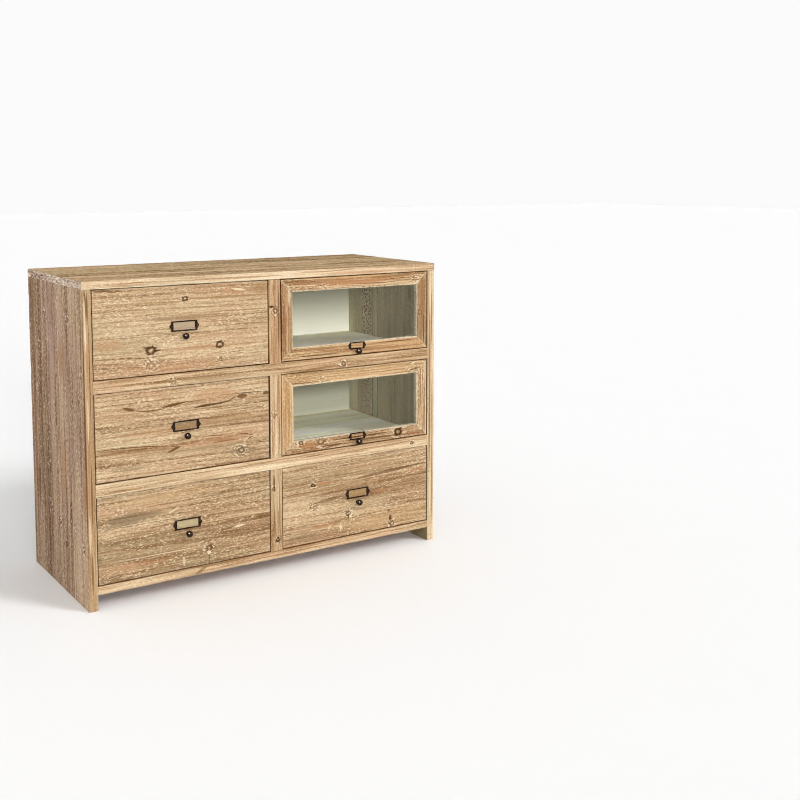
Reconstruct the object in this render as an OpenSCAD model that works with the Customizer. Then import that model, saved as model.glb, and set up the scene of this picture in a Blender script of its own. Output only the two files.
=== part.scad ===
/* [Case] */
// Width of each opening in the case front
opening_w = 501; // [440:1:560]
// Height of each opening in the case front
opening_h = 236; // [210:1:270]
// Depth of the case, from its front to its back
case_d = 475; // [465:1:520]
// Thickness of the two sides
side_t = 25; // [23:0.5:30]
// Thickness of the top board
top_t = 22; // [20:0.5:30]
// Thickness of the bottom board
bottom_t = 22; // [20:0.5:30]
// Height of the gap under the bottom board
foot_h = 42; // [25:1:80]
// Height of the two rails
rail_h = 33; // [30:1:45]
// Depth of the rails and the centre stiles, front to back
rail_d = 45; // [42:1:60]
// Width of the centre stiles
stile_w = 36; // [32:1:50]
// Thickness of the partition behind the centre stiles
partition_t = 22; // [20:0.5:28]
// Thickness of the two shelves behind the glazed flaps
shelf_t = 18; // [15:0.5:20]
// Thickness of the back panel
back_t = 10; // [6:0.5:14]
// Width of the rebate that holds the back panel
back_rebate = 12; // [8:0.5:14]
// Width of the eased arris along the outer edges
case_ease = 1.6; // [0.5:0.1:3]
// Width of the boards that the top, sides and shelves are glued up from
board_w = 118; // [90:1:160]
// Depth of the small V along each seam between boards
seam_d = 0.8; // [0.4:0.1:1.5]

/* [Case joints] */
// Depth of the housings for the bottom board and the shelves
housing_d = 8; // [5:0.5:9]
// Length of the front edge where a housing stops short
housing_stop = 15; // [10:1:25]
// Length of the stub tenons on the rails
tenon_l = 12; // [8:1:16]
// Shoulder of the rail tenons in height
tenon_shoulder_h = 6; // [4:0.5:9]
// Shoulder of the rail tenons in depth
tenon_shoulder_d = 10; // [6:1:16]
// Length of the stub tenons on the centre stiles
stile_tenon_l = 8; // [5:0.5:10]
// Shoulder of the centre stiles' tenons in width
stile_shoulder_w = 8; // [6:0.5:11]

/* [Fronts] */
// Gap round each drawer front and flap
front_gap = 2.5; // [2:0.1:3]
// Distance that the fronts stand behind the case front
front_setback = 1.5; // [0.5:0.1:4]
// Thickness of the drawer fronts
front_t = 20; // [18:0.5:22]
// Width of the eased arris on the drawer fronts and flaps
front_ease = 1; // [0.5:0.1:1.2]

/* [Drawer boxes] */
// Gap between a closed drawer's back and the back panel
drawer_back_gap = 33.5; // [24:0.5:85]
// Thickness of the drawer sides and backs
box_t = 12; // [11:0.5:14]
// Distance that the drawer sides stand below the top of the opening
box_drop = 14; // [12:0.5:36]
// Clearance under the drawer sides
glide = 0.3; // [0.2:0.05:0.6]
// Height of the drawer bottom above the lower edge of the sides
bottom_up = 8; // [7:0.5:12]
// Thickness of the drawer bottom
panel_t = 6; // [4:0.5:8]
// Depth of the groove that holds the drawer bottom
groove_d = 5; // [3:0.5:6]
// Distance that the drawer back stands below the top of the sides
back_drop = 6; // [0:1:15]
// Number of dovetails at each corner
tail_count = 5; // [3:1:6]
// Width of a dovetail at its narrow end
tail_w = 24; // [16:1:30]
// Amount that a dovetail widens on each side
tail_flare = 2.2; // [1:0.1:3]
// Wood left in front of the dovetails
lap_t = 7; // [5:0.5:9]

/* [Drawer carriage] */
// Width of the runners under the drawer sides
runner_w = 20; // [16:1:30]
// Height of the runners
runner_h = 18; // [14:1:20]
// Height of the guides beside the drawers
guide_h = 25; // [15:1:40]
// Distance that the runners and guides end before the back panel
runner_short = 20; // [5:1:40]
// Size of a drawer stop, across the front
stop_w = 30; // [20:1:50]
// Size of a stop block, front to back
stop_d = 14; // [10:1:16]
// Height of a drawer stop
stop_h = 5; // [4:0.5:6]
// Height of a flap stop
flap_stop_h = 12; // [8:0.5:16]
// Distance from a front's middle to each of its stops
stop_x = 160; // [120:1:190]
// Clearance between a closed front and its stops
stop_gap = 0.3; // [0.2:0.05:1]

/* [Flap doors] */
// Width of the flap's frame members
frame_w = 37; // [37:0.5:48]
// Thickness of the flap's frame
frame_t = 20; // [18:0.5:22]
// Wood left in front of the glass
lip_t = 9; // [7:0.5:10]
// Width of the rebate that the glass lies in
glass_rebate = 8; // [6:0.5:9]
// Thickness of the glass
glass_t = 3; // [2:0.5:4]
// Play round the edge of the glass
glass_play = 0.8; // [0.3:0.1:1.5]
// Width of the beads behind the glass
bead_w = 7; // [5:0.5:8]
// Amount that each bead is short of its corner
bead_short = 0.2; // [0.1:0.1:0.6]
// Diameter of the pivot pins
pin_d = 5; // [4:0.5:5.5]
// Length of a pivot pin inside the flap
pin_in_flap = 24; // [15:1:30]
// Length of a pivot pin inside the case
pin_in_case = 11; // [7:1:13]
// Space left at the end of a pin's bore in the case
pin_end_play = 1; // [0.3:0.1:1.5]
// Distance of the pivot behind the flap's front face
pivot_back = 5.5; // [5:0.1:6]
// Distance of the pivot below the flap's top edge
pivot_drop = 5; // [4.5:0.1:6]
// Radial running clearance of the pivot pins
pin_play = 0.05; // [0.02:0.01:0.1]
// Width of the chamfer that lets the flap's top edge pass
swing_ease = 1.8; // [1.5:0.1:2.4]

/* [Label holders] */
// Width of a drawer's label holder, without its ears
holder_w = 74; // [60:1:90]
// Height of a drawer's label holder
holder_h = 28; // [22:0.5:34]
// Width of the bars at its two ends
holder_bar = 6.5; // [5:0.5:9]
// Width of a flap's label holder, without its ears
flap_holder_w = 50; // [40:1:60]
// Height of a flap's label holder
flap_holder_h = 21; // [17:0.5:21]
// Width of the bars at its two ends
flap_holder_bar = 5; // [4:0.5:7]
// Width of the bars along top and bottom
holder_rim = 3.6; // [2.5:0.1:4.5]
// Width of the raised bead along the outline
holder_bead = 1.5; // [1:0.1:2]
// Thickness of the plate
holder_plate_t = 1.6; // [1.2:0.1:2.2]
// Height of the raised bead above the plate
holder_raise = 1.2; // [0.6:0.1:1.8]
// Depth of the slot that takes a label, behind the plate
label_slot = 0.7; // [0.4:0.1:1]
// Reach of the pointed ears
ear_l = 5.4; // [4:0.1:7]
// Height of the pointed ears
ear_h = 15; // [12:0.5:17]
// Diameter of the pin hole in each ear
ear_hole_d = 1.8; // [1.2:0.1:2.4]
// Height of the drawer holder's middle above the front's middle
holder_up = 8; // [4:0.5:14]
// Distance of the flap holder's top below the opening in the flap's frame
flap_holder_drop = 0.5; // [0.1:0.1:0.6]

/* [Knobs] */
// Diameter of the ball of a knob
knob_d = 17.6; // [15:0.1:20]
// Reach of a knob, from the front's face
knob_reach = 22; // [20:0.5:26]
// Diameter of the foot of a knob
knob_foot_d = 10; // [9:0.5:10.5]
// Thickness of the foot
knob_foot_t = 1.8; // [1:0.1:2.5]
// Diameter of the neck of a knob
knob_neck_d = 6.4; // [5:0.1:8]
// Diameter of the knob's screw
screw_d = 4; // [3:0.5:5]
// Diameter of the screw's head
screw_head_d = 8.5; // [7:0.5:10]
// Thickness of the screw's head
screw_head_t = 2.4; // [1.5:0.1:3]
// Radial clearance of the screw in the wood
screw_play = 0.1; // [0.05:0.05:0.3]
// Distance of the knob below the drawer front's middle
knob_down = 19; // [17:0.5:24]
// Height of the knob above the flap's lower edge
flap_knob_up = 10; // [9.5:0.5:10.5]

/* [Hidden] */
$fn = 48;
// A cut runs past the faces by this much
past = 1;
LEFT = 0;
RIGHT = 1;
BOTTOM = 0;
MIDDLE = 1;
TOP = 2;
rows = 3;

case_w = 2 * (side_t + opening_w) + stile_w;
case_h = foot_h + bottom_t + rows * opening_h + (rows - 1) * rail_h + top_t;
side_h = case_h - top_t;
inner_w = case_w - 2 * side_t;
inner_d = case_d - back_t;
reach = knob_reach - front_setback;
front_y = reach - (case_d + reach) / 2;

front_w = opening_w - 2 * front_gap;
front_h = opening_h - 2 * front_gap;
drawer_d = inner_d - front_setback - drawer_back_gap;
box_top = opening_h - box_drop;
box_h = box_top - glide;
panel_z = glide + bottom_up;
tail_l = front_t - lap_t;
back_y = drawer_d - box_t;
back_z = panel_z + panel_t;
back_top = box_top - back_drop;
carriage_l = inner_d - rail_d - runner_short;
guide_t = (stile_w - partition_t) / 2;

sight_w = front_w - 2 * frame_w;
sight_h = front_h - 2 * frame_w;
glass_y = lip_t;
bead_y = lip_t + glass_t;
pivot_y = front_setback + pivot_back;
pivot_below_opening = front_gap + pivot_drop;
flap_holder_up = frame_w - flap_holder_drop - flap_holder_h / 2;

// Low corner of an opening
function row_z(row) = foot_h + bottom_t + row * (opening_h + rail_h);
function column_x(column) = column == LEFT ? -case_w / 2 + side_t : stile_w / 2;
// Middle of an opening, and the height of the pivot of the flap in a row
function middle_x(column) = column_x(column) + opening_w / 2;
function pivot_z(row) = row_z(row) + opening_h - pivot_below_opening;
// Places of the seams in a width of glued-up boards, as near to board_w as they divide evenly
function board_count(width) = max(1, round(width / board_w));
function seams(width) = [for (i = [1:1:board_count(width) - 1]) i * width / board_count(width)];

// The case is drawn with its front at y = 0 and moved so that the whole chest, knobs and all, is centred
module in_place() {
    translate([0, front_y, 0]) children();
}

// Moves a front's own frame, from the middle of its opening's lower edge, to a row and a column
module in_opening(row, column) {
    in_place() translate([middle_x(column), front_setback, row_z(row)]) children();
}

// Draws its children, and again mirrored to the other side
module both_sides() {
    children();
    mirror([1, 0, 0]) children();
}

// A rectangle with its four corners cut off at 45 degrees, from the origin
module eased_rectangle(a, b, ease) {
    polygon([
        [ease, 0], [a - ease, 0], [a, ease], [a, b - ease],
        [a - ease, b], [ease, b], [0, b - ease], [0, ease]
    ]);
}

// A board with all its arrises eased
module eased_board(size, ease) {
    intersection() {
        linear_extrude(size.z) eased_rectangle(size.x, size.y, ease);
        translate([0, size.y, 0]) rotate([90, 0, 0]) linear_extrude(size.y)
            eased_rectangle(size.x, size.z, ease);
        rotate([90, 0, 90]) linear_extrude(size.x) eased_rectangle(size.y, size.z, ease);
    }
}

// V cuts along X in a face at z = 0 that looks up, one at each seam across the depth
module seams_along_x(length, depth) {
    for (y = seams(depth)) {
        translate([-past, y, 0]) rotate([90, 0, 90]) linear_extrude(length + 2 * past)
            polygon([[-seam_d, past], [-seam_d, 0], [0, -seam_d], [seam_d, 0], [seam_d, past]]);
    }
}

// V cuts along Z in a face at x = 0 that looks along -X, one at each seam across the depth
module seams_along_z(height, depth) {
    for (y = seams(depth)) {
        translate([0, y, -past]) linear_extrude(height + 2 * past)
            polygon([[-past, -seam_d], [0, -seam_d], [seam_d, 0], [0, seam_d], [-past, seam_d]]);
    }
}

// Stub tenon of a rail's left end, which is also the shape of its mortise
module rail_tenon() {
    translate([-tenon_l, tenon_shoulder_d, tenon_shoulder_h])
        cube([tenon_l, rail_d - 2 * tenon_shoulder_d, rail_h - 2 * tenon_shoulder_h]);
}

// Stub tenon that stands on a centre stile, which is also the shape of its mortise
module stile_tenon() {
    translate([stile_shoulder_w - stile_w / 2, tenon_shoulder_d, 0])
        cube([stile_w - 2 * stile_shoulder_w, rail_d - 2 * tenon_shoulder_d, stile_tenon_l]);
}

// The tenons that point up along the centre stiles' line, then those that point down
module stile_tenons_up() {
    for (row = [BOTTOM, MIDDLE, TOP]) translate([0, 0, row_z(row) + opening_h]) stile_tenon();
}

module stile_tenons_down() {
    for (row = [BOTTOM, MIDDLE, TOP]) translate([0, 0, row_z(row)]) mirror([0, 0, 1]) stile_tenon();
}

// Bores for the pivot pins of both flaps, from the edge of the right column into the case
module pivot_bores(column_edge, direction) {
    for (row = [MIDDLE, TOP]) {
        translate([column_edge - direction * past, pivot_y, pivot_z(row)])
            rotate([0, direction * 90, 0])
                cylinder(d = pin_d + 2 * pin_play, h = past + pin_in_case + pin_end_play);
    }
}

// End view of the top board over a span, from its underside, with the two upper arrises eased
module top_section(low, high) {
    polygon([
        [low, side_h], [high, side_h], [high, case_h - case_ease], [high - case_ease, case_h],
        [low + case_ease, case_h], [low, case_h - case_ease]
    ]);
}

module top_board() {
    color([0.75, 0.63, 0.47]) difference() {
        intersection() {
            translate([-case_w / 2, 0, 0]) rotate([90, 0, 90]) linear_extrude(case_w)
                top_section(0, case_d);
            translate([0, case_d, 0]) rotate([90, 0, 0]) linear_extrude(case_d)
                top_section(-case_w / 2, case_w / 2);
        }
        translate([-case_w / 2, 0, case_h]) seams_along_x(case_w, case_d);
        translate([-inner_w / 2 - back_rebate, inner_d, side_h - past])
            cube([inner_w + 2 * back_rebate, back_t + past, back_rebate + past]);
        stile_tenons_up();
    }
}

// Plan of the left side, with its two outer arrises eased and the rebate at its back
module side_section() {
    outer = -case_w / 2;
    inner = -inner_w / 2;
    polygon([
        [outer + case_ease, 0], [inner, 0], [inner, inner_d], [inner - back_rebate, inner_d],
        [inner - back_rebate, case_d], [outer + case_ease, case_d], [outer, case_d - case_ease],
        [outer, case_ease]
    ]);
}

// A side of the case, drawn as the left one, with a housing for the bottom board and two mortises
module case_side() {
    difference() {
        linear_extrude(side_h) side_section();
        translate([-case_w / 2, 0, 0]) seams_along_z(side_h, case_d);
        translate([-inner_w / 2, 0, 0]) mirror([1, 0, 0]) seams_along_z(side_h, case_d);
        translate([-inner_w / 2 - housing_d, housing_stop, foot_h])
            cube([housing_d + past, inner_d - housing_stop, bottom_t]);
        for (row = [MIDDLE, TOP]) translate([-inner_w / 2, 0, row_z(row) - rail_h]) rail_tenon();
    }
}

module left_side() {
    color([0.65, 0.55, 0.47]) case_side();
}

module right_side() {
    color([0.65, 0.55, 0.47]) difference() {
        mirror([1, 0, 0]) case_side();
        for (row = [MIDDLE, TOP]) translate([inner_w / 2 - past, rail_d, row_z(row) - shelf_t])
            cube([housing_d + past, inner_d - rail_d, shelf_t]);
        pivot_bores(inner_w / 2, 1);
    }
}

module back_panel() {
    color([0.84, 0.87, 0.8]) translate([-inner_w / 2 - back_rebate, inner_d, foot_h])
        cube([inner_w + 2 * back_rebate, back_t, side_h + back_rebate - foot_h]);
}

module bottom_board() {
    color([0.8, 0.67, 0.5]) difference() {
        translate([-inner_w / 2 - housing_d, 0, foot_h])
            cube([inner_w + 2 * housing_d, inner_d, bottom_t]);
        both_sides() translate([inner_w / 2, -past, foot_h - past])
            cube([housing_d + past, housing_stop + past, bottom_t + 2 * past]);
        stile_tenons_down();
    }
}

module centre_partition() {
    color([0.55, 0.54, 0.46]) difference() {
        translate([-partition_t / 2, rail_d, foot_h + bottom_t])
            cube([partition_t, inner_d - rail_d, side_h - foot_h - bottom_t]);
        for (row = [MIDDLE, TOP])
            translate([partition_t / 2 - housing_d, rail_d - past, row_z(row) - shelf_t])
                cube([housing_d + past, inner_d - rail_d + 2 * past, shelf_t]);
    }
}

// A rail with its tenons, below the openings of a row
module rail(row) {
    color([0.84, 0.7, 0.52]) difference() {
        translate([0, 0, row_z(row) - rail_h]) union() {
            translate([-inner_w / 2, 0, 0]) cube([inner_w, rail_d, rail_h]);
            translate([-inner_w / 2, 0, 0]) rail_tenon();
            translate([inner_w / 2, 0, 0]) mirror([1, 0, 0]) rail_tenon();
        }
        stile_tenons_up();
        stile_tenons_down();
    }
}

module centre_stiles() {
    color([0.84, 0.7, 0.52]) difference() {
        union() {
            for (row = [BOTTOM, MIDDLE, TOP])
                translate([-stile_w / 2, 0, row_z(row)]) cube([stile_w, rail_d, opening_h]);
            stile_tenons_up();
            stile_tenons_down();
        }
        pivot_bores(stile_w / 2, -1);
    }
}

// A shelf in its housings, level with the top of the rail below a row
module shelf(row) {
    color([0.69, 0.72, 0.63]) difference() {
        translate([partition_t / 2 - housing_d, rail_d, row_z(row) - shelf_t])
            cube([inner_w / 2 - partition_t / 2 + 2 * housing_d, inner_d - rail_d, shelf_t]);
        translate([partition_t / 2 - housing_d, rail_d, row_z(row)])
            seams_along_x(inner_w / 2 + 2 * housing_d, inner_d - rail_d);
    }
}

module drawer_runners() {
    color([0.78, 0.66, 0.5]) for (row = [MIDDLE, TOP]) {
        translate([column_x(LEFT), rail_d, row_z(row) - runner_h])
            cube([runner_w, carriage_l, runner_h]);
        translate([-partition_t / 2 - guide_t - runner_w, rail_d, row_z(row) - runner_h])
            cube([runner_w + guide_t, carriage_l, runner_h]);
    }
}

module drawer_guides() {
    color([0.78, 0.66, 0.5]) {
        for (row = [BOTTOM, MIDDLE, TOP]) translate([-stile_w / 2, rail_d, row_z(row)])
            cube([guide_t, carriage_l, guide_h]);
        translate([partition_t / 2, rail_d, row_z(BOTTOM)]) cube([guide_t, carriage_l, guide_h]);
    }
}

// Two stops behind a front of the given thickness
module stop_pair(row, column, thickness, height) {
    for (side = [-1, 1])
        translate([
            middle_x(column) + side * stop_x - stop_w / 2,
            front_setback + thickness + stop_gap,
            row_z(row)
        ]) cube([stop_w, stop_d, height]);
}

module stop_blocks() {
    color([0.78, 0.66, 0.5]) {
        for (row = [BOTTOM, MIDDLE, TOP]) stop_pair(row, LEFT, front_t, stop_h);
        stop_pair(BOTTOM, RIGHT, front_t, stop_h);
        for (row = [MIDDLE, TOP]) stop_pair(row, RIGHT, frame_t, flap_stop_h);
    }
}

// Outlines of a row of dovetails, from their narrow ends at a = 0 to a = length, spread over a height
module tails(length, height) {
    pitch = height / tail_count;
    for (i = [0:1:tail_count - 1]) {
        middle = (i + 0.5) * pitch;
        polygon([
            [0, middle - tail_w / 2], [length, middle - tail_w / 2 - tail_flare],
            [length, middle + tail_w / 2 + tail_flare], [0, middle + tail_w / 2]
        ]);
    }
}

// The dovetails of a drawer's left side as solids: at the front they point to -Y, at the back to +Y
module front_tails() {
    translate([-front_w / 2, front_t, glide]) rotate([90, 0, 90]) linear_extrude(box_t)
        mirror([1, 0]) tails(tail_l, box_h);
}

module back_tails() {
    translate([-front_w / 2, back_y, back_z]) rotate([90, 0, 90]) linear_extrude(box_t)
        tails(box_t, back_top - back_z);
}

// The drawer bottom, which is also the shape of its grooves
module bottom_sheet() {
    translate([-front_w / 2 + box_t - groove_d, front_t - groove_d, panel_z])
        cube([front_w - 2 * (box_t - groove_d), drawer_d - front_t + groove_d, panel_t]);
}

// Bore for a knob's screw through a front of the given thickness
module screw_bore(height, thickness) {
    translate([0, -past, height]) rotate([-90, 0, 0])
        cylinder(d = screw_d + 2 * screw_play, h = thickness + 2 * past);
}

module drawer_front(row, column) {
    color([0.78, 0.66, 0.5]) in_opening(row, column) difference() {
        translate([-front_w / 2, 0, front_gap]) eased_board([front_w, front_t, front_h], front_ease);
        both_sides() front_tails();
        bottom_sheet();
        screw_bore(opening_h / 2 - knob_down, front_t);
    }
}

// The left side of a drawer, in the drawer's own frame
module box_side() {
    difference() {
        union() {
            translate([-front_w / 2, front_t, glide]) cube([box_t, back_y - front_t, box_h]);
            translate([-front_w / 2, back_y, glide]) cube([box_t, box_t, back_z - glide]);
            translate([-front_w / 2, back_y, back_top]) cube([box_t, box_t, back_drop]);
            front_tails();
            back_tails();
        }
        bottom_sheet();
    }
}

module drawer_left_side(row, column) {
    color([0.8, 0.7, 0.55]) in_opening(row, column) box_side();
}

module drawer_right_side(row, column) {
    color([0.8, 0.7, 0.55]) in_opening(row, column) mirror([1, 0, 0]) box_side();
}

module drawer_back(row, column) {
    color([0.8, 0.7, 0.55]) in_opening(row, column) difference() {
        translate([-front_w / 2, back_y, back_z]) cube([front_w, box_t, back_top - back_z]);
        both_sides() back_tails();
    }
}

module drawer_bottom(row, column) {
    color([0.82, 0.74, 0.6]) in_opening(row, column) bottom_sheet();
}

// A profile turned about the Y axis: its screw head at the back of the wood, shank, foot, neck and ball
module knob(height, thickness) {
    neck_l = knob_reach - knob_d / 2;
    cove_r = (knob_foot_d - knob_neck_d) / 2;
    translate([0, 0, height]) rotate([90, 0, 0]) rotate_extrude() intersection() {
        union() {
            translate([0, -thickness - screw_head_t]) square([screw_head_d / 2, screw_head_t]);
            translate([0, -thickness - screw_head_t / 2]) square([screw_d / 2, thickness + screw_head_t]);
            difference() {
                square([knob_foot_d / 2, knob_foot_t + cove_r]);
                translate([knob_foot_d / 2, knob_foot_t + cove_r]) circle(cove_r);
            }
            square([knob_neck_d / 2, neck_l]);
            translate([0, neck_l]) circle(d = knob_d);
        }
        translate([0, -2 * thickness]) square([knob_d, 2 * thickness + knob_reach + past]);
    }
}

module drawer_knob(row, column) {
    color([0.2, 0.15, 0.1]) in_opening(row, column) knob(opening_h / 2 - knob_down, front_t);
}

// Outline of a label holder with its pointed ears, taken in by an inset square to every edge
module holder_outline(width, height, inset) {
    slope = ear_h / 2 / ear_l;
    w = width / 2 - inset;
    h = height / 2 - inset;
    ear = ear_h / 2 + slope * inset - inset * sqrt(1 + slope * slope);
    tip = width / 2 + ear_l - inset * sqrt(1 + 1 / (slope * slope));
    polygon([
        [-w, -h], [w, -h], [w, -ear], [tip, 0], [w, ear],
        [w, h], [-w, h], [-w, ear], [-tip, 0], [-w, -ear]
    ]);
}

// A label holder, standing on the wood with its middle at a height
module label_holder(height, w, h, bar) {
    window_w = w - 2 * bar;
    window_h = h - 2 * holder_rim;
    translate([0, 0, height]) rotate([90, 0, 0]) difference() {
        union() {
            linear_extrude(holder_plate_t) holder_outline(w, h, 0);
            linear_extrude(holder_plate_t + holder_raise) difference() {
                holder_outline(w, h, 0);
                holder_outline(w, h, holder_bead);
            }
        }
        translate([-window_w / 2, -window_h / 2, -past])
            cube([window_w, window_h, holder_plate_t + 2 * past]);
        translate([-(window_w + bar) / 2, -(window_h + holder_rim) / 2, -past])
            cube([window_w + bar, h, label_slot + past]);
        for (side = [-1, 1]) translate([side * (w + ear_l / 3) / 2, 0, -past])
            cylinder(d = ear_hole_d, h = holder_plate_t + 2 * past);
    }
}

module drawer_label_holder(row, column) {
    color([0.2, 0.15, 0.1]) in_opening(row, column)
        label_holder(opening_h / 2 + holder_up, holder_w, holder_h, holder_bar);
}

// Cross-section of a frame member: y runs back from the face and z runs in from the outer edge
module member_section(outer_ease) {
    polygon([
        [0, outer_ease], [outer_ease, 0], [frame_t, 0], [frame_t, frame_w - glass_rebate],
        [lip_t, frame_w - glass_rebate], [lip_t, frame_w],
        [front_ease, frame_w], [0, frame_w - front_ease]
    ]);
}

// A frame member of a length, outer edge at z = 0, mitred at both ends
module frame_member(length, outer_ease) {
    intersection() {
        translate([-length / 2, 0, 0]) rotate([90, 0, 90]) linear_extrude(length)
            member_section(outer_ease);
        translate([0, frame_t + past, 0]) rotate([90, 0, 0]) linear_extrude(frame_t + 2 * past)
            polygon([
                [-length / 2, 0], [length / 2, 0],
                [length / 2 - frame_w, frame_w], [frame_w - length / 2, frame_w]
            ]);
    }
}

// Bores for the two pivot pins in a flap's own frame
module pin_bores_in_flap() {
    both_sides() translate([-front_w / 2 - past, pivot_back, opening_h - pivot_below_opening])
        rotate([0, 90, 0]) cylinder(d = pin_d, h = pin_in_flap + past);
}

module door_top_rail(row) {
    color([0.78, 0.6, 0.42]) in_opening(row, RIGHT) difference() {
        translate([0, 0, opening_h - front_gap]) mirror([0, 0, 1]) frame_member(front_w, swing_ease);
        pin_bores_in_flap();
    }
}

module door_bottom_rail(row) {
    color([0.78, 0.6, 0.42]) in_opening(row, RIGHT) difference() {
        translate([0, 0, front_gap]) frame_member(front_w, front_ease);
        screw_bore(front_gap + flap_knob_up, frame_t);
    }
}

// What the chamfer takes off a flap's top front arris, which lies at the origin
module swing_chamfer() {
    polygon([
        [-past, past], [-past, -swing_ease], [0, -swing_ease], [swing_ease, 0], [swing_ease, past]
    ]);
}

// The left stile of a flap, in the flap's own frame
module door_stile() {
    difference() {
        translate([-front_w / 2, 0, opening_h / 2]) rotate([0, 90, 0]) frame_member(front_h, front_ease);
        translate([-front_w / 2 - past, 0, opening_h - front_gap]) rotate([90, 0, 90])
            linear_extrude(front_w) swing_chamfer();
        pin_bores_in_flap();
    }
}

module door_left_stile(row) {
    color([0.78, 0.6, 0.42]) in_opening(row, RIGHT) door_stile();
}

module door_right_stile(row) {
    color([0.78, 0.6, 0.42]) in_opening(row, RIGHT) mirror([1, 0, 0]) door_stile();
}

module door_glass(row) {
    edge = glass_rebate - glass_play;
    color([0.8, 0.88, 0.85, 0.4]) in_opening(row, RIGHT)
        translate([-sight_w / 2 - edge, glass_y, front_gap + frame_w - edge])
            cube([sight_w + 2 * edge, glass_t, sight_h + 2 * edge]);
}

// One bead for a side of the rebate, whose wall is its outer edge at z = 0, mitred at both ends
module bead(side_l) {
    bead_d = frame_t - bead_y;
    half_l = side_l / 2 - bead_short;
    intersection() {
        translate([-half_l, 0, 0]) rotate([90, 0, 90]) linear_extrude(2 * half_l)
            polygon([[0, 0], [bead_d, 0], [bead_d, bead_w / 2], [bead_d / 2, bead_w], [0, bead_w]]);
        translate([0, bead_d + past, 0]) rotate([90, 0, 0]) linear_extrude(bead_d + 2 * past)
            polygon([[-half_l, 0], [half_l, 0], [half_l - bead_w, bead_w], [bead_w - half_l, bead_w]]);
    }
}

module door_beads(row) {
    w = sight_w + 2 * glass_rebate;
    h = sight_h + 2 * glass_rebate;
    color([0.78, 0.6, 0.42]) in_opening(row, RIGHT) translate([0, bead_y, opening_h / 2]) {
        for (side = [-1, 1]) {
            rotate([0, 90 + side * 90, 0]) translate([0, 0, -h / 2]) bead(w);
            rotate([0, side * 90, 0]) translate([0, 0, -w / 2]) bead(h);
        }
    }
}

module door_label_holder(row) {
    color([0.2, 0.15, 0.1]) in_opening(row, RIGHT)
        label_holder(front_gap + flap_holder_up, flap_holder_w, flap_holder_h, flap_holder_bar);
}

module door_knob(row) {
    color([0.2, 0.15, 0.1]) in_opening(row, RIGHT) knob(front_gap + flap_knob_up, frame_t);
}

module door_pivot_pins(row) {
    color([0.6, 0.6, 0.6]) in_opening(row, RIGHT) both_sides()
        translate([-opening_w / 2 - pin_in_case, pivot_back, opening_h - pivot_below_opening])
            rotate([0, 90, 0]) cylinder(d = pin_d, h = pin_in_case + front_gap + pin_in_flap);
}

in_place() top_board();
in_place() left_side();
in_place() right_side();
in_place() back_panel();
in_place() bottom_board();
in_place() centre_partition();
in_place() rail(TOP);  // upper_rail
in_place() rail(MIDDLE);  // lower_rail
in_place() centre_stiles();
in_place() shelf(TOP);  // upper_shelf
in_place() shelf(MIDDLE);  // lower_shelf
in_place() drawer_runners();
in_place() drawer_guides();
in_place() stop_blocks();

drawer_front(TOP, LEFT);  // top_left_drawer_front
drawer_left_side(TOP, LEFT);  // top_left_drawer_left_side
drawer_right_side(TOP, LEFT);  // top_left_drawer_right_side
drawer_back(TOP, LEFT);  // top_left_drawer_back
drawer_bottom(TOP, LEFT);  // top_left_drawer_bottom
drawer_label_holder(TOP, LEFT);  // top_left_drawer_label_holder
drawer_knob(TOP, LEFT);  // top_left_drawer_knob

drawer_front(MIDDLE, LEFT);  // middle_left_drawer_front
drawer_left_side(MIDDLE, LEFT);  // middle_left_drawer_left_side
drawer_right_side(MIDDLE, LEFT);  // middle_left_drawer_right_side
drawer_back(MIDDLE, LEFT);  // middle_left_drawer_back
drawer_bottom(MIDDLE, LEFT);  // middle_left_drawer_bottom
drawer_label_holder(MIDDLE, LEFT);  // middle_left_drawer_label_holder
drawer_knob(MIDDLE, LEFT);  // middle_left_drawer_knob

drawer_front(BOTTOM, LEFT);  // bottom_left_drawer_front
drawer_left_side(BOTTOM, LEFT);  // bottom_left_drawer_left_side
drawer_right_side(BOTTOM, LEFT);  // bottom_left_drawer_right_side
drawer_back(BOTTOM, LEFT);  // bottom_left_drawer_back
drawer_bottom(BOTTOM, LEFT);  // bottom_left_drawer_bottom
drawer_label_holder(BOTTOM, LEFT);  // bottom_left_drawer_label_holder
drawer_knob(BOTTOM, LEFT);  // bottom_left_drawer_knob

drawer_front(BOTTOM, RIGHT);  // bottom_right_drawer_front
drawer_left_side(BOTTOM, RIGHT);  // bottom_right_drawer_left_side
drawer_right_side(BOTTOM, RIGHT);  // bottom_right_drawer_right_side
drawer_back(BOTTOM, RIGHT);  // bottom_right_drawer_back
drawer_bottom(BOTTOM, RIGHT);  // bottom_right_drawer_bottom
drawer_label_holder(BOTTOM, RIGHT);  // bottom_right_drawer_label_holder
drawer_knob(BOTTOM, RIGHT);  // bottom_right_drawer_knob

door_top_rail(TOP);  // upper_door_top_rail
door_bottom_rail(TOP);  // upper_door_bottom_rail
door_left_stile(TOP);  // upper_door_left_stile
door_right_stile(TOP);  // upper_door_right_stile
door_glass(TOP);  // upper_door_glass
door_beads(TOP);  // upper_door_beads
door_label_holder(TOP);  // upper_door_label_holder
door_knob(TOP);  // upper_door_knob
door_pivot_pins(TOP);  // upper_door_pivot_pins

door_top_rail(MIDDLE);  // lower_door_top_rail
door_bottom_rail(MIDDLE);  // lower_door_bottom_rail
door_left_stile(MIDDLE);  // lower_door_left_stile
door_right_stile(MIDDLE);  // lower_door_right_stile
door_glass(MIDDLE);  // lower_door_glass
door_beads(MIDDLE);  // lower_door_beads
door_label_holder(MIDDLE);  // lower_door_label_holder
door_knob(MIDDLE);  // lower_door_knob
door_pivot_pins(MIDDLE);  // lower_door_pivot_pins
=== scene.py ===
"""Dresses the apothecary chest in worn, limed pine, with dark bronze fittings and clear panes."""

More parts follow.
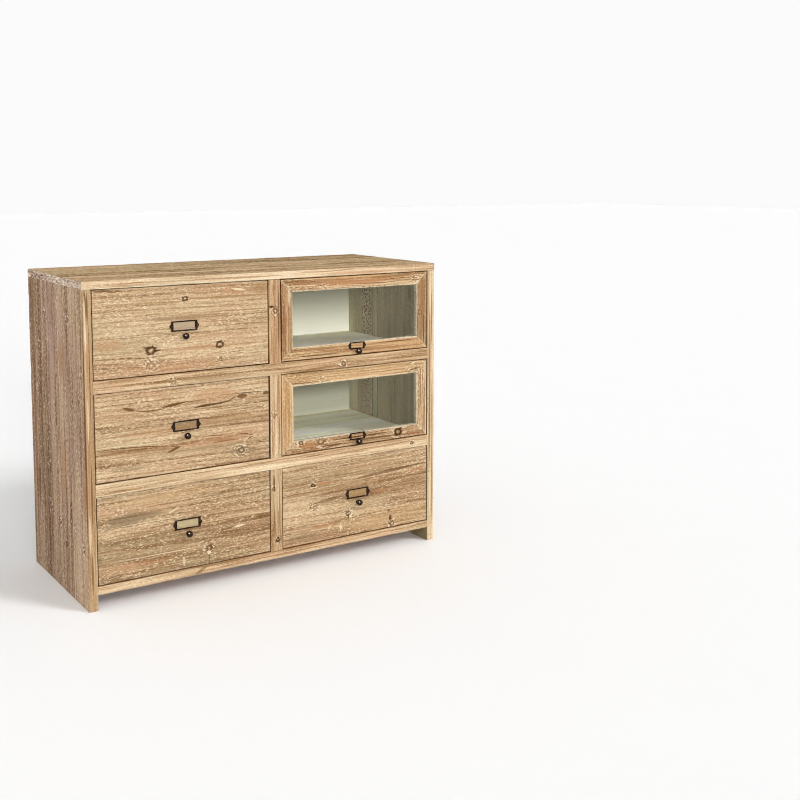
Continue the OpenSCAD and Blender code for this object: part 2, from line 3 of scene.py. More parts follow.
import logging
import math
from dataclasses import dataclass
from enum import Enum
from typing import Callable, Sequence, Union

import bmesh
import bpy
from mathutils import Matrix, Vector, noise


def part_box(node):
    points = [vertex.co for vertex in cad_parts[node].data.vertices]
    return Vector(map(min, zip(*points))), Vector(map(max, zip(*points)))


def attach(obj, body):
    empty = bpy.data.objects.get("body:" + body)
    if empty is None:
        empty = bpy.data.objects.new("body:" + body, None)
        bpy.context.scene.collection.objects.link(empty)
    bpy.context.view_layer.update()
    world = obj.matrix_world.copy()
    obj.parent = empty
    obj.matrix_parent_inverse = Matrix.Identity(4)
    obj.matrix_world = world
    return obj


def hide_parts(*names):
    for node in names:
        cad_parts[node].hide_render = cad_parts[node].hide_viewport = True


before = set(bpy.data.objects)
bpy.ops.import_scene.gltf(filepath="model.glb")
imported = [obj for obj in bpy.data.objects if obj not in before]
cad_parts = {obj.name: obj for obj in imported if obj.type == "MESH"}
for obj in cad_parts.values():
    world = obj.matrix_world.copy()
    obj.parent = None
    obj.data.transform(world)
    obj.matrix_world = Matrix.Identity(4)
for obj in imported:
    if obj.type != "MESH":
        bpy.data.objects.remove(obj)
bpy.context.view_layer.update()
LOG = logging.getLogger("chest")
MM = 1000  # millimetres in a metre
Colour = tuple[float, float, float, float]
Seen = tuple[int, int, int]
Box = tuple[float, float, float, float]


class Stands(Enum):
    """Where a surface stands in the studio, as the share of the light that reaches it."""

    FREE = 1.0
    FRONT = 1.7
    SIDE = 0.95
    TOP = 1.04
    WALL = 0.65
    SHELF = 0.43
    UPPER_SHELF = 0.38


def paint(red: int, green: int, blue: int, stands: Stands = Stands.FREE) -> Colour:
    """Turns a colour of 0 to 255 a channel, as it looks in the studio, into what a shader takes.

    Args:
        red: Red as seen.
        green: Green as seen.
        blue: Blue as seen.
        stands: Where the surface stands, which tells how much of what is seen is light.

    Returns:
        The colour in linear values, with an alpha of 1.
    """
    seen = [channel / 255 for channel in (red, green, blue)]
    linear = [c / 12.92 if c <= 0.04045 else ((c + 0.055) / 1.055) ** 2.4 for c in seen]
    palest = 0.93
    return (*(min(c / stands.value, palest) for c in linear), 1.0)


def operator(operation: str, turned: bool = False) -> Callable[..., "Term"]:
    """An operator of Term, which adds a Math node.

    Args:
        operation: What the node does.
        turned: Whether the plain number comes first.

    Returns:
        The method.
    """
    def method(self: "Term", *other: "Number") -> "Term":
        """Adds the node."""
        values = (*other, self) if turned else (self, *other)
        return self.graph.math(operation, *values)

    return method


class Term:
    """A number that varies over a surface, which Python expressions can be written on."""

    def __init__(self, graph: "Graph", socket: bpy.types.NodeSocket) -> None:
        """Wraps an output socket of a graph's node."""
        self.graph = graph
        self.socket = socket

    __add__ = __radd__ = operator("ADD")
    __sub__ = operator("SUBTRACT")
    __rsub__ = operator("SUBTRACT", turned=True)
    __mul__ = __rmul__ = operator("MULTIPLY")
    __truediv__ = operator("DIVIDE")
    __abs__ = operator("ABSOLUTE")

    def smooth(self, low: float, high: float) -> "Term":
        """Runs smoothly from 0 at low to 1 at high, and stays there.

        Args:
            low: The value that gives 0.
            high: The value that gives 1.

        Returns:
            The eased value.
        """
        settings = {"interpolation_type": "SMOOTHSTEP"}
        inputs = {"Value": self, "From Min": low, "From Max": high}
        return self.graph.term("MapRange", settings, inputs)


Number = Union[Term, float]


class Graph:
    """The node tree of one material, and the ways to add to it."""

    def __init__(self, name: str) -> None:
        """Makes the material with an empty tree."""
        self.material = bpy.data.materials.new(name)
        self.material.use_nodes = True
        self.tree = self.material.node_tree
        self.tree.nodes.clear()

    def node(self, kind: str, settings: dict | None = None, inputs: dict | None = None) -> bpy.types.Node:
        """Adds a node of any kind.

        Args:
            kind: The node's type, without the words before it that all shader nodes share.
            settings: Its own settings by name, and the stops of a ramp as "stops".
            inputs: What goes into its sockets, by name or number: values, terms or sockets.

        Returns:
            The node.
        """
        made = self.tree.nodes.new("ShaderNode" + kind)
        for name, value in (settings or {}).items():
            if name == "stops":
                while len(made.color_ramp.elements) < len(value):
                    made.color_ramp.elements.new(0.5)
                for element, (place, colour) in zip(made.color_ramp.elements, value):
                    element.position, element.color = place, colour
            else:
                setattr(made, name, value)
        for key, value in (inputs or {}).items():
            socket = value.socket if isinstance(value, Term) else value
            if isinstance(socket, bpy.types.NodeSocket):
                self.tree.links.new(socket, made.inputs[key])
            else:
                made.inputs[key].default_value = socket
        return made

    def term(self, kind: str, settings: dict | None = None, inputs: dict | None = None) -> Term:
        """Adds a node and wraps its first output."""
        return Term(self, self.node(kind, settings, inputs).outputs[0])

    def math(self, operation: str, *values: Number) -> Term:
        """Adds a Math node.

        Args:
            operation: What the node does.
            values: One or two numbers or terms.

        Returns:
            The result.
        """
        return self.term("Math", {"operation": operation}, dict(enumerate(values)))

    def place(self) -> bpy.types.NodeSocket:
        """The place on the piece, in metres."""
        return self.node("TexCoord").outputs["Object"]

    def point(self, *parts: Number) -> bpy.types.NodeSocket:
        """Makes a vector of three numbers."""
        return self.node("CombineXYZ", None, dict(enumerate(parts))).outputs[0]

    def blend(self, amount: Number, low: "Shade", high: "Shade") -> bpy.types.NodeSocket:
        """Mixes two colours.

        Args:
            amount: 0 for the first colour and 1 for the second.
            low: The first colour.
            high: The second colour.

        Returns:
            The mixed colour's socket.
        """
        return self.node("Mix", {"data_type": "RGBA"}, {0: amount, 6: low, 7: high}).outputs[2]

    def clouds(self, place: bpy.types.NodeSocket, stretch: tuple[float, float, float], detail: float = 2.0,
               roughness: float = 0.5) -> Term:
        """Noise with its own fineness along, across and into the wood.

        Args:
            place: Where on the wood, in metres.
            stretch: How many features a metre holds in each direction.
            detail: How many finer layers are added.
            roughness: How strong the finer layers are.

        Returns:
            The noise, mostly from 0.2 to 0.8.
        """
        scaled = self.node("VectorMath", {"operation": "MULTIPLY"}, {0: place, 1: stretch}).outputs[0]
        inputs = {"Vector": scaled, "Scale": 1.0, "Detail": detail, "Roughness": roughness}
        return self.term("TexNoise", {"normalize": True}, inputs)

    def surface(self, colour: "Shade", roughness: Number, height: Term | None = None, relief: float = 0.0,
                **others: Number | Colour) -> bpy.types.Material:
        """Ends the tree in a Principled shader.

        Args:
            colour: Base colour.
            roughness: Roughness.
            height: What the bump follows, if anything.
            relief: How high the bump stands, in metres.
            others: Other sockets of the shader by name, with underscores for spaces.

        Returns:
            The finished material.
        """
        inputs = {"Base Color": colour, "Roughness": roughness}
        inputs.update({name.replace("_", " "): value for name, value in others.items()})
        if height is not None:
            bump = {"Height": height, "Distance": relief, "Strength": 1.0}
            inputs["Normal"] = self.node("Bump", None, bump).outputs[0]
        shader = self.node("BsdfPrincipled", None, inputs)
        self.node("OutputMaterial", None, {"Surface": shader.outputs[0]})
        return self.material


Shade = Union[bpy.types.NodeSocket, Colour]


class Run(Enum):
    """How the grain lies: which axis of the chest runs along it, which across it and which into the board."""

    FRONT_LEVEL = "xzy"
    FRONT_UPRIGHT = "zxy"
    SIDE_UPRIGHT = "zyx"
    TOP_LEVEL = "xyz"
    END_ON = "yzx"

    def terms(self, graph: Graph) -> list[Term]:
        """The place on the piece, in metres, as along, across and into the wood."""
        split = graph.node("SeparateXYZ", None, {0: graph.place()})
        return [Term(graph, split.outputs["xyz".index(axis)]) for axis in self.value]


class Stain(Enum):
    """What colours a streak, as red, green and blue seen in the studio."""

    BROWN = (112, 76, 44)
    TAN = (164, 127, 84)
    RED = (190, 136, 94)
    GREY = (144, 126, 98)
    GOLD = (224, 188, 136)
    LIME = (240, 222, 186)
    RUST = (158, 112, 76)
    # Sage here and moss below serve only as painted shade: darker bands across the back panel's wash.
    SAGE = (122, 119, 93)
    # The next colour paints shade where it darkens the sage walls towards their front; elsewhere it is a dark stain.
    UMBER = (74, 56, 36)
    # The next colour is a dark stain, and a painted shadow where it draws dark lines in the gaps beside the centre
    # stile.
    DEEP_BROWN = (66, 32, 12)
    PLUM = (176, 146, 134)
    MOSS_SHADE = (92, 88, 62)


BROWN, TAN, RED, GREY, GOLD, LIME, RUST, SAGE, UMBER, DEEP_BROWN, PLUM, MOSS_SHADE = Stain
Row = tuple[Union[float, Stain], ...]
Corner = tuple[float, float]


@dataclass(frozen=True)
class Knot:
    """A knot in a board, placed along and across its grain, in metres."""

    along: float
    across: float
    radius: float
    dark: float = 0.8
    lime: float = 0.6
    heart: float = 0.5

    @classmethod
    def placed(cls, corner: Corner, along: float, across: float, radius: float, *looks: float) -> "Knot":
        """Makes a knot from millimetres along and across, counted from a corner that is in metres."""
        return cls(corner[0] + along / MM, corner[1] + across / MM, radius / MM, *looks)


@dataclass(frozen=True)
class Streak:
    """A stain along the grain, pointed at both ends, in metres.

    It rises by `rise` from end to end, and its middle bows up by `bow`. `fray` tells how ragged its edge is.
    """

    along: float
    across: float
    length: float
    width: float
    stain: Stain
    strength: float
    rise: float
    bow: float
    fray: float

    @classmethod
    def placed(cls, corner: Corner, along: float, across: float, length: float, width: float,
               stain: Stain = BROWN, strength: float = 0.7, rise: float = 0.0, bow: float = 0.0,
               fray: float = 1.4) -> "Streak":
        """Makes a streak from millimetres along and across, counted from a corner that is in metres."""
        return cls(corner[0] + along / MM, corner[1] + across / MM, length / MM, width / MM, stain, strength,
                   rise / MM, bow / MM, fray)

    def cover(self, along: Term, across: Term, ragged: Term) -> Term:
        """How far it covers each place.

        Args:
            along: The place along the grain.
            across: The place across the grain.
            ragged: Noise that frays its edge.

        Returns:
            0 outside it, up to its strength inside.
        """
        u = (along - self.along) * (2 / self.length)
        square = u * u
        level = u * (self.rise / 2) - square * self.bow + (self.across + self.bow)
        fray = self.fray * (1 + self.width * 30)
        far = abs(across - level) / (self.width / 2) + square + (ragged - 0.5) * fray
        return (1 - far.smooth(0.6, 1.15)) * self.strength


def margins(graph: Graph, box: Box) -> tuple[Term, Term]:
    """How far a place lies in from the nearer side of a box, and from its nearer lower or upper edge."""
    left, low, right, high = box
    x, z, _ = Run.FRONT_LEVEL.terms(graph)
    return (right - left) / 2 - abs(x - (left + right) / 2), (high - low) / 2 - abs(z - (low + high) / 2)


@dataclass(frozen=True)
class Pine:
    """Limed and stained pine, glued up from planks, with rings, fibres, knots and flecks of lime.

    Its knots and marks stand under its name in KNOTS and MARKS, and are counted from its corner.
    """

    name: str
    run: Run
    stands: Stands = Stands.FRONT
    pale: Seen = (229, 202, 162)
    middle: Seen = (201, 171, 133)
    dark: Seen = (138, 103, 70)
    pink: Seen = (202, 160, 124)
    olive: Seen = (190, 168, 130)
    lime_tint: Seen = (250, 234, 200)
    seams: tuple[float, ...] = ()
    tones: tuple[float, ...] = (0.0,)
    seam_dark: float = 0.5
    seam_tint: Seen = (96, 62, 34)
    seam_width: float = 0.0016
    pith: float = 0.0
    pith_depth: float = 0.03
    taper: float = 0.012
    ring_gap: float = 0.013
    rings: float = 0.16
    lime: float = 0.62
    speckle: float = 1.1
    fibres: float = 1.5
    hue: float = 0.5
    fleck: float = 1.0
    flat: float = 1.0
    stripes: float = 1.0
    coarse: float = 1.0
    pores: float = 0.25
    warmth: float = 0.0
    streaks: float = 0.3
    saw_from: float | None = None
    knot_fray: float = 1.1
    corner: Corner = (0.0, 0.0)
    seed: float = 0.0
    label_window: Box | None = None
    behind_label: Seen = (176, 158, 124)
    frame_box: Box | None = None
    frame_width: float = 0.037
    # face_at and the two fields after it paint shade into the gaps: faces set back behind the front face are
    # darkened.
    face_at: float | None = None
    gap_shade: float = 0.85
    gap_shade_tint: Seen = (160, 116, 74)

    def tint(self, seen: Seen) -> Colour:
        """A seen colour as this wood's shader takes it."""
        return paint(*seen, self.stands)

    def planks(self, graph: Graph, across: Term) -> tuple[Number, Number, Number]:
        """Tells the planks of a glued-up board apart.

        Args:
            graph: The material's graph.
            across: The place across the grain.

        Returns:
            The plank's own tone, a number that differs from plank to plank, and the dark seams between them.
        """
        tone: Number = self.tones[0]
        which: Number = self.seed
        line: Number = 0.0
        for seam, before, after in zip(self.seams, self.tones, self.tones[1:]):
            past = graph.math("GREATER_THAN", across, seam)
            tone = past * (after - before) + tone
            which = past * 0.61 + which
            line = (1 - abs(across - seam).smooth(0.0004, self.seam_width)) * self.seam_dark + line
        return tone, which, line

    def knotted(self, g: Graph, along: Term, across: Term, grit: Term) -> tuple[Number, ...]:
        """Draws the knots.

        Args:
            g: The material's graph.
            along: The place along the grain.
            across: The place across the grain.
            grit: Noise that frays them.

        Returns:
            Their body, rim, heart and halo of lime, and the place across the grain, bent round them.
        """
        body: Number = 0.0
        rim: Number = 0.0
        heart: Number = 0.0
        halo: Number = 0.0
        bent = across
        for row in KNOTS.get(self.name, ()):
            knot = Knot.placed(self.corner, *row)
            u = (along - knot.along) / (knot.radius * 1.25)
            v = (across - knot.across) / knot.radius
            far = g.math("SQRT", u * u + v * v) + (grit - 0.5) * self.knot_fray
            inside = 1 - far.smooth(1.0, 1.3)
            heart = (1 - far.smooth(0.15, 0.5)) * knot.heart + heart
            body = inside * knot.dark * 0.75 + body
            rim = far.smooth(0.35, 0.75) * inside * knot.dark + rim
            halo = far.smooth(0.9, 1.4) * (1 - far.smooth(1.7, 3.2)) * knot.lime + halo
            near = g.math("EXPONENT", (u * u + v * v) * -0.16)
            bent = bent - near * v * (knot.radius * 0.75)
        return body, rim, heart, halo, bent

    def sawn(self, g: Graph, colour: Shade, raw: bpy.types.NodeSocket, across: Term) -> Shade:
        """Adds a strip of rough saw marks, from saw_from on.

        Args:
            g: The material's graph.
            colour: The colour under them.
            raw: The place on the wood.
            across: The place across the grain.

        Returns:
            The colour with them.
        """
        strip = across.smooth(self.saw_from, self.saw_from + 0.004)
        strip = strip * (1 - across.smooth(self.saw_from + 0.056, self.saw_from + 0.064))
        dots = g.clouds(raw, (190, 150, 150), 0.0, 0.5)
        colour = g.blend((1 - dots).smooth(0.48, 0.56) * strip * 0.75, colour, self.tint((152, 138, 112)))
        return g.blend(dots.smooth(0.5, 0.58) * strip, colour, self.tint((78, 54, 42)))

    def material(self) -> bpy.types.Material:
        """Builds the finish.

        Returns:
            The material.
        """
        g = Graph(self.name)
        along, across, depth = self.run.terms(g)
        tone, which, line = self.planks(g, across)
        raw = g.point(along + which, across, depth)
        grit = g.clouds(raw, (120, 190, 190), 2.0, 0.6)
        body, rim, heart, halo, bent = self.knotted(g, along, across, grit)
        unswayed = g.point(along + which, bent, depth)
        sway = g.clouds(unswayed, (1.6, 7, 7), 2.0)
        ripple = g.clouds(unswayed, (12, 40, 40), 1.0)
        bent = bent + (sway - 0.5) * 0.022 + (ripple - 0.5) * 0.0035
        grain = g.point(along + which, bent, depth)
        off_pith = bent - self.pith + which * 0.021
        radius = g.math("SQRT", off_pith * off_pith + self.pith_depth ** 2) - along * self.taper
        turn = g.math("FRACT", radius / self.ring_gap)
        ring = turn.smooth(0.45, 0.9) * (1 - turn.smooth(0.91, 1.0))
        fibre = g.clouds(grain, (8, 300, 300), 2.0, 0.6)
        streak = g.clouds(grain, (2.0 / self.coarse, 56 / self.coarse, 56 / self.coarse), 4.0, 0.6)
        broad = g.clouds(grain, (1.3, 14, 14), 2.0, 0.5)
        patch = g.clouds(raw, (9, 20, 20), 3.0, 0.6)
        tint = g.clouds(g.point(along + which, bent, depth + 3.3), (3.2, 22, 22), 3.0, 0.55)
        flecks = g.clouds(raw, (140 / self.fleck, 330 / self.fleck / self.flat, 330 / self.fleck), 2.0, 0.55)
        shade = (streak - 0.5) * self.stripes + (fibre - 0.5) * self.fibres + (broad - 0.5) * 1.3
        shade = shade - (flecks - 0.5) * (patch * 1.6 + 0.2) * self.speckle
        shade = shade + ring * self.rings + tone + 0.4
        stops = [(0.0, self.tint(self.pale)), (0.45, self.tint(self.middle)), (1.0, self.tint(self.dark))]
        colour = g.node("ValToRGB", {"stops": stops}, {0: shade}).outputs[0]
        colour = g.blend((tint + self.warmth).smooth(0.5, 0.68) * self.hue, colour, self.tint(self.pink))
        colour = g.blend((1 - tint - self.warmth).smooth(0.5, 0.68) * self.hue, colour, self.tint(self.olive))
        latewood = ring * streak.smooth(0.42, 0.62) * self.streaks
        colour = g.blend(latewood, colour, self.tint((138, 92, 56)))
        thick = patch.smooth(0.4, 0.6) * 0.7 + 0.3
        limed = flecks.smooth(0.56, 0.68) * thick * self.lime
        limed = g.math("MAXIMUM", limed, grit.smooth(0.5, 0.6) * halo)
        if self.frame_box:
            limed = g.math("MAXIMUM", limed, flecks.smooth(0.36, 0.56) * self.frame_lime(g) * 0.85)
        pores = (1 - flecks).smooth(0.56, 0.68) * self.pores
        pores = g.math("MAXIMUM", pores, (1 - grit).smooth(0.5, 0.62) * halo)
        colour = g.blend(pores, colour, self.tint(self.dark))
        if self.label_window:
            from_side, from_end = margins(g, self.label_window)
            framed = from_side.smooth(0.0, 0.001) * from_end.smooth(0.0, 0.001)
            colour = g.blend(framed * 0.7, colour, self.tint(self.behind_label))
            limed = limed * (1 - framed * 0.6)
        colour = g.blend(limed, colour, self.tint(self.lime_tint))
        ragged = grit * 0.3 + fibre * 0.4 + streak * 0.3
        for row in MARKS.get(self.name, ()):
            mark = Streak.placed(self.corner, *row)
            colour = g.blend(mark.cover(along, across, ragged), colour, self.tint(mark.stain.value))
        if self.saw_from is not None:
            colour = self.sawn(g, colour, raw, across)
        colour = g.blend(body, colour, self.tint((130, 94, 60)))
        colour = g.blend(rim, colour, self.tint((72, 42, 22)))
        colour = g.blend(heart, colour, self.tint((236, 208, 168)))
        if self.seams:
            colour = g.blend(line * streak.smooth(0.35, 0.6), colour, self.tint(self.seam_tint))
        # Painted shade: faces set back more than about 1.4 mm behind the front face, the sides of the gaps between
        # parts, are darkened towards the gap tint.
        if self.face_at is not None:
            gap_shade_mask = (depth - self.face_at).smooth(0.0014, 0.005) * self.gap_shade
            colour = g.blend(gap_shade_mask, colour, self.tint(self.gap_shade_tint))
        height = fibre * 0.5 + ring * 0.2 - flecks * 0.35 - body * 0.4
        return g.surface(colour, fibre * -0.15 + 0.85, height, 0.0006, Specular_IOR_Level=0.0)

    def frame_lime(self, graph: Graph) -> Term:
        """Lime left along the mitres and the inner edge of a flap's frame."""
        from_side, from_end = margins(graph, self.frame_box)
        mitre = 1 - abs(from_side - from_end).smooth(0.0006, 0.006)
        inner = graph.math("MINIMUM", from_side, from_end).smooth(self.frame_width - 0.008, self.frame_width)
        return graph.math("MAXIMUM", mitre * 0.7, inner)


@dataclass(frozen=True)
class Bronze:
    """Near-black bronze with a brown bloom and a soft shine."""

    name: str = "dark_bronze"

    def material(self) -> bpy.types.Material:
        """Builds the finish."""
        g = Graph(self.name)
        place = g.place()
        bloom = g.clouds(place, (260, 260, 260), 3.0, 0.6)
        pits = g.clouds(place, (1400, 1400, 1400), 2.0, 0.6)
        colour = g.blend(bloom.smooth(0.5, 0.75), paint(22, 9, 4), paint(64, 36, 19))
        roughness = bloom.smooth(0.3, 0.7) * 0.08 + 0.14
        return g.surface(colour, roughness, pits, 0.00002, Specular_IOR_Level=0.2,
                         Specular_Tint=(1.0, 0.8, 0.62, 1.0))


@dataclass(frozen=True)
class Steel:
    """Bare steel, drawn along its length."""

    name: str = "steel"

    def material(self) -> bpy.types.Material:
        """Builds the finish."""
        g = Graph(self.name)
        lines = g.clouds(g.place(), (40, 900, 900), 2.0, 0.6)
        colour = g.blend(lines.smooth(0.35, 0.65), paint(150, 150, 152), paint(192, 192, 194))
        return g.surface(colour, lines * 0.2 + 0.25, lines, 0.00005, Metallic=1.0)


@dataclass(frozen=True)
class Pane:
    """Clear glass with a film of lime dust that thickens at its edges."""

    name: str
    box: Box

    def material(self) -> bpy.types.Material:
        """Builds the finish."""
        g = Graph(self.name)
        edge = 1 - g.math("MINIMUM", *margins(g, self.box)).smooth(0.006, 0.016)
        dust = g.clouds(g.place(), (60, 60, 90), 3.0, 0.6)
        haze = dust.smooth(0.4, 0.75) * (edge * 0.14 + 0.01)
        colour = g.blend(haze.smooth(0.0, 0.2), paint(214, 212, 182), paint(236, 230, 208))
        g.material.surface_render_method = "BLENDED"
        return g.surface(colour, dust * 0.1 + 0.03, Alpha=haze + 0.03)


@dataclass(frozen=True)
class Wear:
    """How far use has rounded and eaten the arrises of a board, in metres."""

    arris: float = 0.0009
    bites: float = 0.0009
    stretch: float = 0.022
    shortest: float = 0.005


def merged_mesh(node: str, gap: float) -> bmesh.types.BMesh:
    """The mesh of a node of the chest, with corners that lie closer than the gap merged."""
    mesh = bmesh.new()
    mesh.from_mesh(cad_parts[node].data)
    bmesh.ops.remove_doubles(mesh, verts=mesh.verts, dist=gap)
    return mesh


def new_piece(name: str, mesh: bmesh.types.BMesh) -> bpy.types.Object:
    """Makes a finished mesh a piece of the scene, in place."""
    data = bpy.data.meshes.new(name)
    mesh.to_mesh(data)
    mesh.free()
    piece = bpy.data.objects.new(name, data)
    bpy.context.scene.collection.objects.link(piece)
    return piece


def worn_copy(node: str, wear: Wear) -> bpy.types.Object:
    """Copies a board of the chest with rounded, uneven arrises.

    Args:
        node: The board's node.
        wear: How worn it is.

    Returns:
        The worn board, in place.
    """
    mesh = merged_mesh(node, 1e-5)
    flat, sharp = math.radians(0.4), math.radians(25)
    bmesh.ops.dissolve_limit(mesh, angle_limit=flat, verts=mesh.verts, edges=mesh.edges)
    low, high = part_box(node)
    size = high - low
    longest = max(range(3), key=lambda axis: size[axis])
    arrises = [edge for edge in mesh.edges if edge.is_manifold and edge.calc_face_angle_signed() > sharp
               and edge.calc_length() > wear.shortest]
    rounded = bmesh.ops.bevel(
        mesh, geom=arrises, offset=wear.arris, offset_type="OFFSET", segments=2, profile=0.5,
        affect="EDGES", clamp_overlap=True, material=-1)
    for face in rounded["faces"]:
        face.smooth = True
    normal = Vector([float(axis == longest) for axis in range(3)])
    for i in range(1, int(size[longest] / wear.stretch)):
        geometry = mesh.verts[:] + mesh.edges[:] + mesh.faces[:]
        cut_at = low + normal * (i * wear.stretch + wear.stretch * 0.4 * noise.noise(Vector((i * 0.7, 0, 0))))
        bmesh.ops.bisect_plane(mesh, geom=geometry, dist=1e-6, plane_co=cut_at, plane_no=normal)
    mesh.normal_update()
    for vertex in mesh.verts:
        if any(face.smooth for face in vertex.link_faces):
            bite = noise.noise(vertex.co * 24) * 0.6 + noise.noise(vertex.co * 75) * 0.4
            vertex.co -= vertex.normal * wear.bites * max(0.0, bite * 2)
    return new_piece(node + "_worn", mesh)


def smooth_copy(node: str, sharp: float = 35.0) -> bpy.types.Object:
    """Copies a fitting of the chest with smooth round faces.

    Args:
        node: The fitting's node.
        sharp: The angle in degrees over which an edge stays sharp.

    Returns:
        The fitting, in place.
    """
    mesh = merged_mesh(node, 1e-6)
    for face in mesh.faces:
        face.smooth = True
    for edge in mesh.edges:
        edge.smooth = edge.is_manifold and edge.calc_face_angle() < math.radians(sharp)
    return new_piece(node + "_turned", mesh)


def take_place(piece: bpy.types.Object, node: str, body: str) -> None:
    """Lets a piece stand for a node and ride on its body."""
    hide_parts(node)
    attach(piece, body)
    LOG.info("%s rides on %s", piece.name, body)


def dress(piece: bpy.types.Object, *materials: bpy.types.Material,
          choose: Callable[[Vector, Vector], int] | None = None) -> None:
    """Gives a piece its materials.

    Args:
        piece: The piece.
        materials: Its materials, in order.
        choose: Picks a face's material from its middle and its normal, where there are several.
    """
    piece.data.materials.clear()
    for material in materials:
        piece.data.materials.append(material)
    for face in piece.data.polygons:
        face.material_index = choose(face.center, face.normal) if choose else 0


def put_worn(node: str, body: str, wear: Wear, *materials: bpy.types.Material,
             choose: Callable[[Vector, Vector], int] | None = None) -> None:
    """Puts a worn and dressed copy in the place of a node."""
    board = worn_copy(node, wear)
    dress(board, *materials, choose=choose)
    take_place(board, node, body)


def front_box(node: str) -> Box:
    """A node's left, lower, right and upper edge, seen from the front."""
    low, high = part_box(node)
    return low.x, low.z, high.x, high.z


# What several finishes share: rails, stiles and front edges, then both sides, then both shelves.
HONEY: dict[str, object] = dict(
    pale=(249, 228, 192), middle=(221, 191, 151), dark=(152, 112, 72), pink=(214, 174, 136), olive=(205, 182, 142),
    # The tint on the next line paints the shade in the gaps of rails, stiles and front edges.
    gap_shade_tint=(172, 108, 48), stripes=1.9, speckle=0.8, lime=0.35, pores=0.2)
MAUVE: dict[str, object] = dict(
    run=Run.SIDE_UPRIGHT, stands=Stands.SIDE, pale=(190, 164, 136), middle=(160, 133, 110), dark=(88, 62, 44),
    pink=(168, 138, 122), olive=(150, 130, 102), lime_tint=(222, 202, 180), lime=0.5, rings=0.15, fleck=1.1, flat=2.6,
    stripes=2.4, coarse=1.6, speckle=1.1, fibres=1.3, pores=0.3, tones=(-0.36, -0.12, -0.06, 0.02), seam_dark=0.6)
SAGE_BOARDS: dict[str, object] = dict(
    run=Run.TOP_LEVEL, pale=(196, 194, 170), middle=(180, 177, 151), pink=(176, 166, 140), olive=(172, 174, 144),
    lime_tint=(206, 204, 182), lime=0.3, rings=0.08, streaks=0.1, stripes=1.8, coarse=1.4, speckle=0.6, pores=0.2,
    seams=(-0.0782, 0.0266, 0.1318), seed=4.4)
# Rows of along, across and radius in millimetres, then how dark, how limed and how pale at heart.
KNOTS: dict[str, list[Row]] = {
    "pine_rail": [(-301, 579, 6, 0.3, 0.9), (222, 581, 6, 0.5, 0.9), (462, 315, 4)],
    "pine_stile": [(750, 2, 6, 0.5, 1.0, 0.9), (96, 3, 5, 0.9, 0.8, 0.2), (455, -6, 4, 0.3, 1.0),
        (245, -8, 4, 0.7, 0.8, 0.2)],
    "pine_side": [(746, 95, 6.8, 0.7, 1.0, 0.3), (749, -105, 7.8, 0.5, 1.0, 0.4), (331, 88, 6.6, 0.4, 1.0),
        (208, 84, 7.8, 0.7, 1.0, 0.3), (185, -1, 5.8, 0.8, 1.0), (160, -198, 6.4, 0.8, 1.0),
        (524, 181, 5.6, 0.4, 1.0), (585, 160, 4, 0.3, 1.0), (138, -52, 5, 0.9, 0.6, 0.1), (624, -206, 5, 0.3, 1.0),
        (705, 150, 3.6, 0.2, 1.0), (196, -130, 4, 0.2, 1.0)],
    "pine_far_side": [(655, 62, 8, 0.7, 0.4), (270, -50, 7, 0.8, 0.3, 0.3), (480, -176, 5, 0.7, 0.5, 0.2),
        (118, 180, 6, 0.6, 0.4)],
    "pine_top": [(206, 207, 12, 0.7, 0.3, 0.1)],
    "top_left_drawer_pine": [(252, 195, 6.2, 0.7, 0.4, 1.0), (154, 65, 10.4, 0.8, 0.25, 0.7),
        (350, 65, 8.8, 0.75, 0.3, 0.7), (154, 26, 8, 0.2, 0.8, 0.9), (350, 24, 4, 0.3, 0.8)],
    "middle_left_drawer_pine": [(410, 34, 8, 0.4, 0.9, 0.6)],
    "bottom_left_drawer_pine": [(404, 156, 5, 0.1, 0.5, 0.5), (310, 44, 7, 0.5, 0.8), (292, 148, 4, 0.2, 0.5),
        (60, 184, 5, 0.1, 0.6), (20, 150, 5, 0.1, 0.5)],
    "bottom_right_drawer_pine": [(216, 66, 7, 0.5, 0.8, 0.5), (358, 76, 5, 0.2, 0.6, 0.3),
        (369, 11, 7, 0.5, 0.9, 0.7), (104, 103, 6, 0.3, 0.6, 0.4), (99, 168, 5, 0.9, 0.7, 0.1),
        (90, 113, 4, 0.3, 0.6)],
    "upper_door_pine_level": [(135, 204, 4, 0.2, 1.0), (455, 210, 5, 0.1, 1.0)],
    "upper_door_pine_upright": [(109, 471, 6, 0.3, 1.0), (205, 30, 6, 0.1, 1.0)],
    "lower_door_pine_level": [(60, 29, 6, 0.6, 1.0), (125, 24, 9, 0.4, 1.0), (392, 20, 10, 0.9, 0.8, 0.2),
        (483, 22, 6, 0.3, 1.0), (130, 205, 5, 0.2, 1.0), (440, 215, 7, 0.1, 1.0)],
}
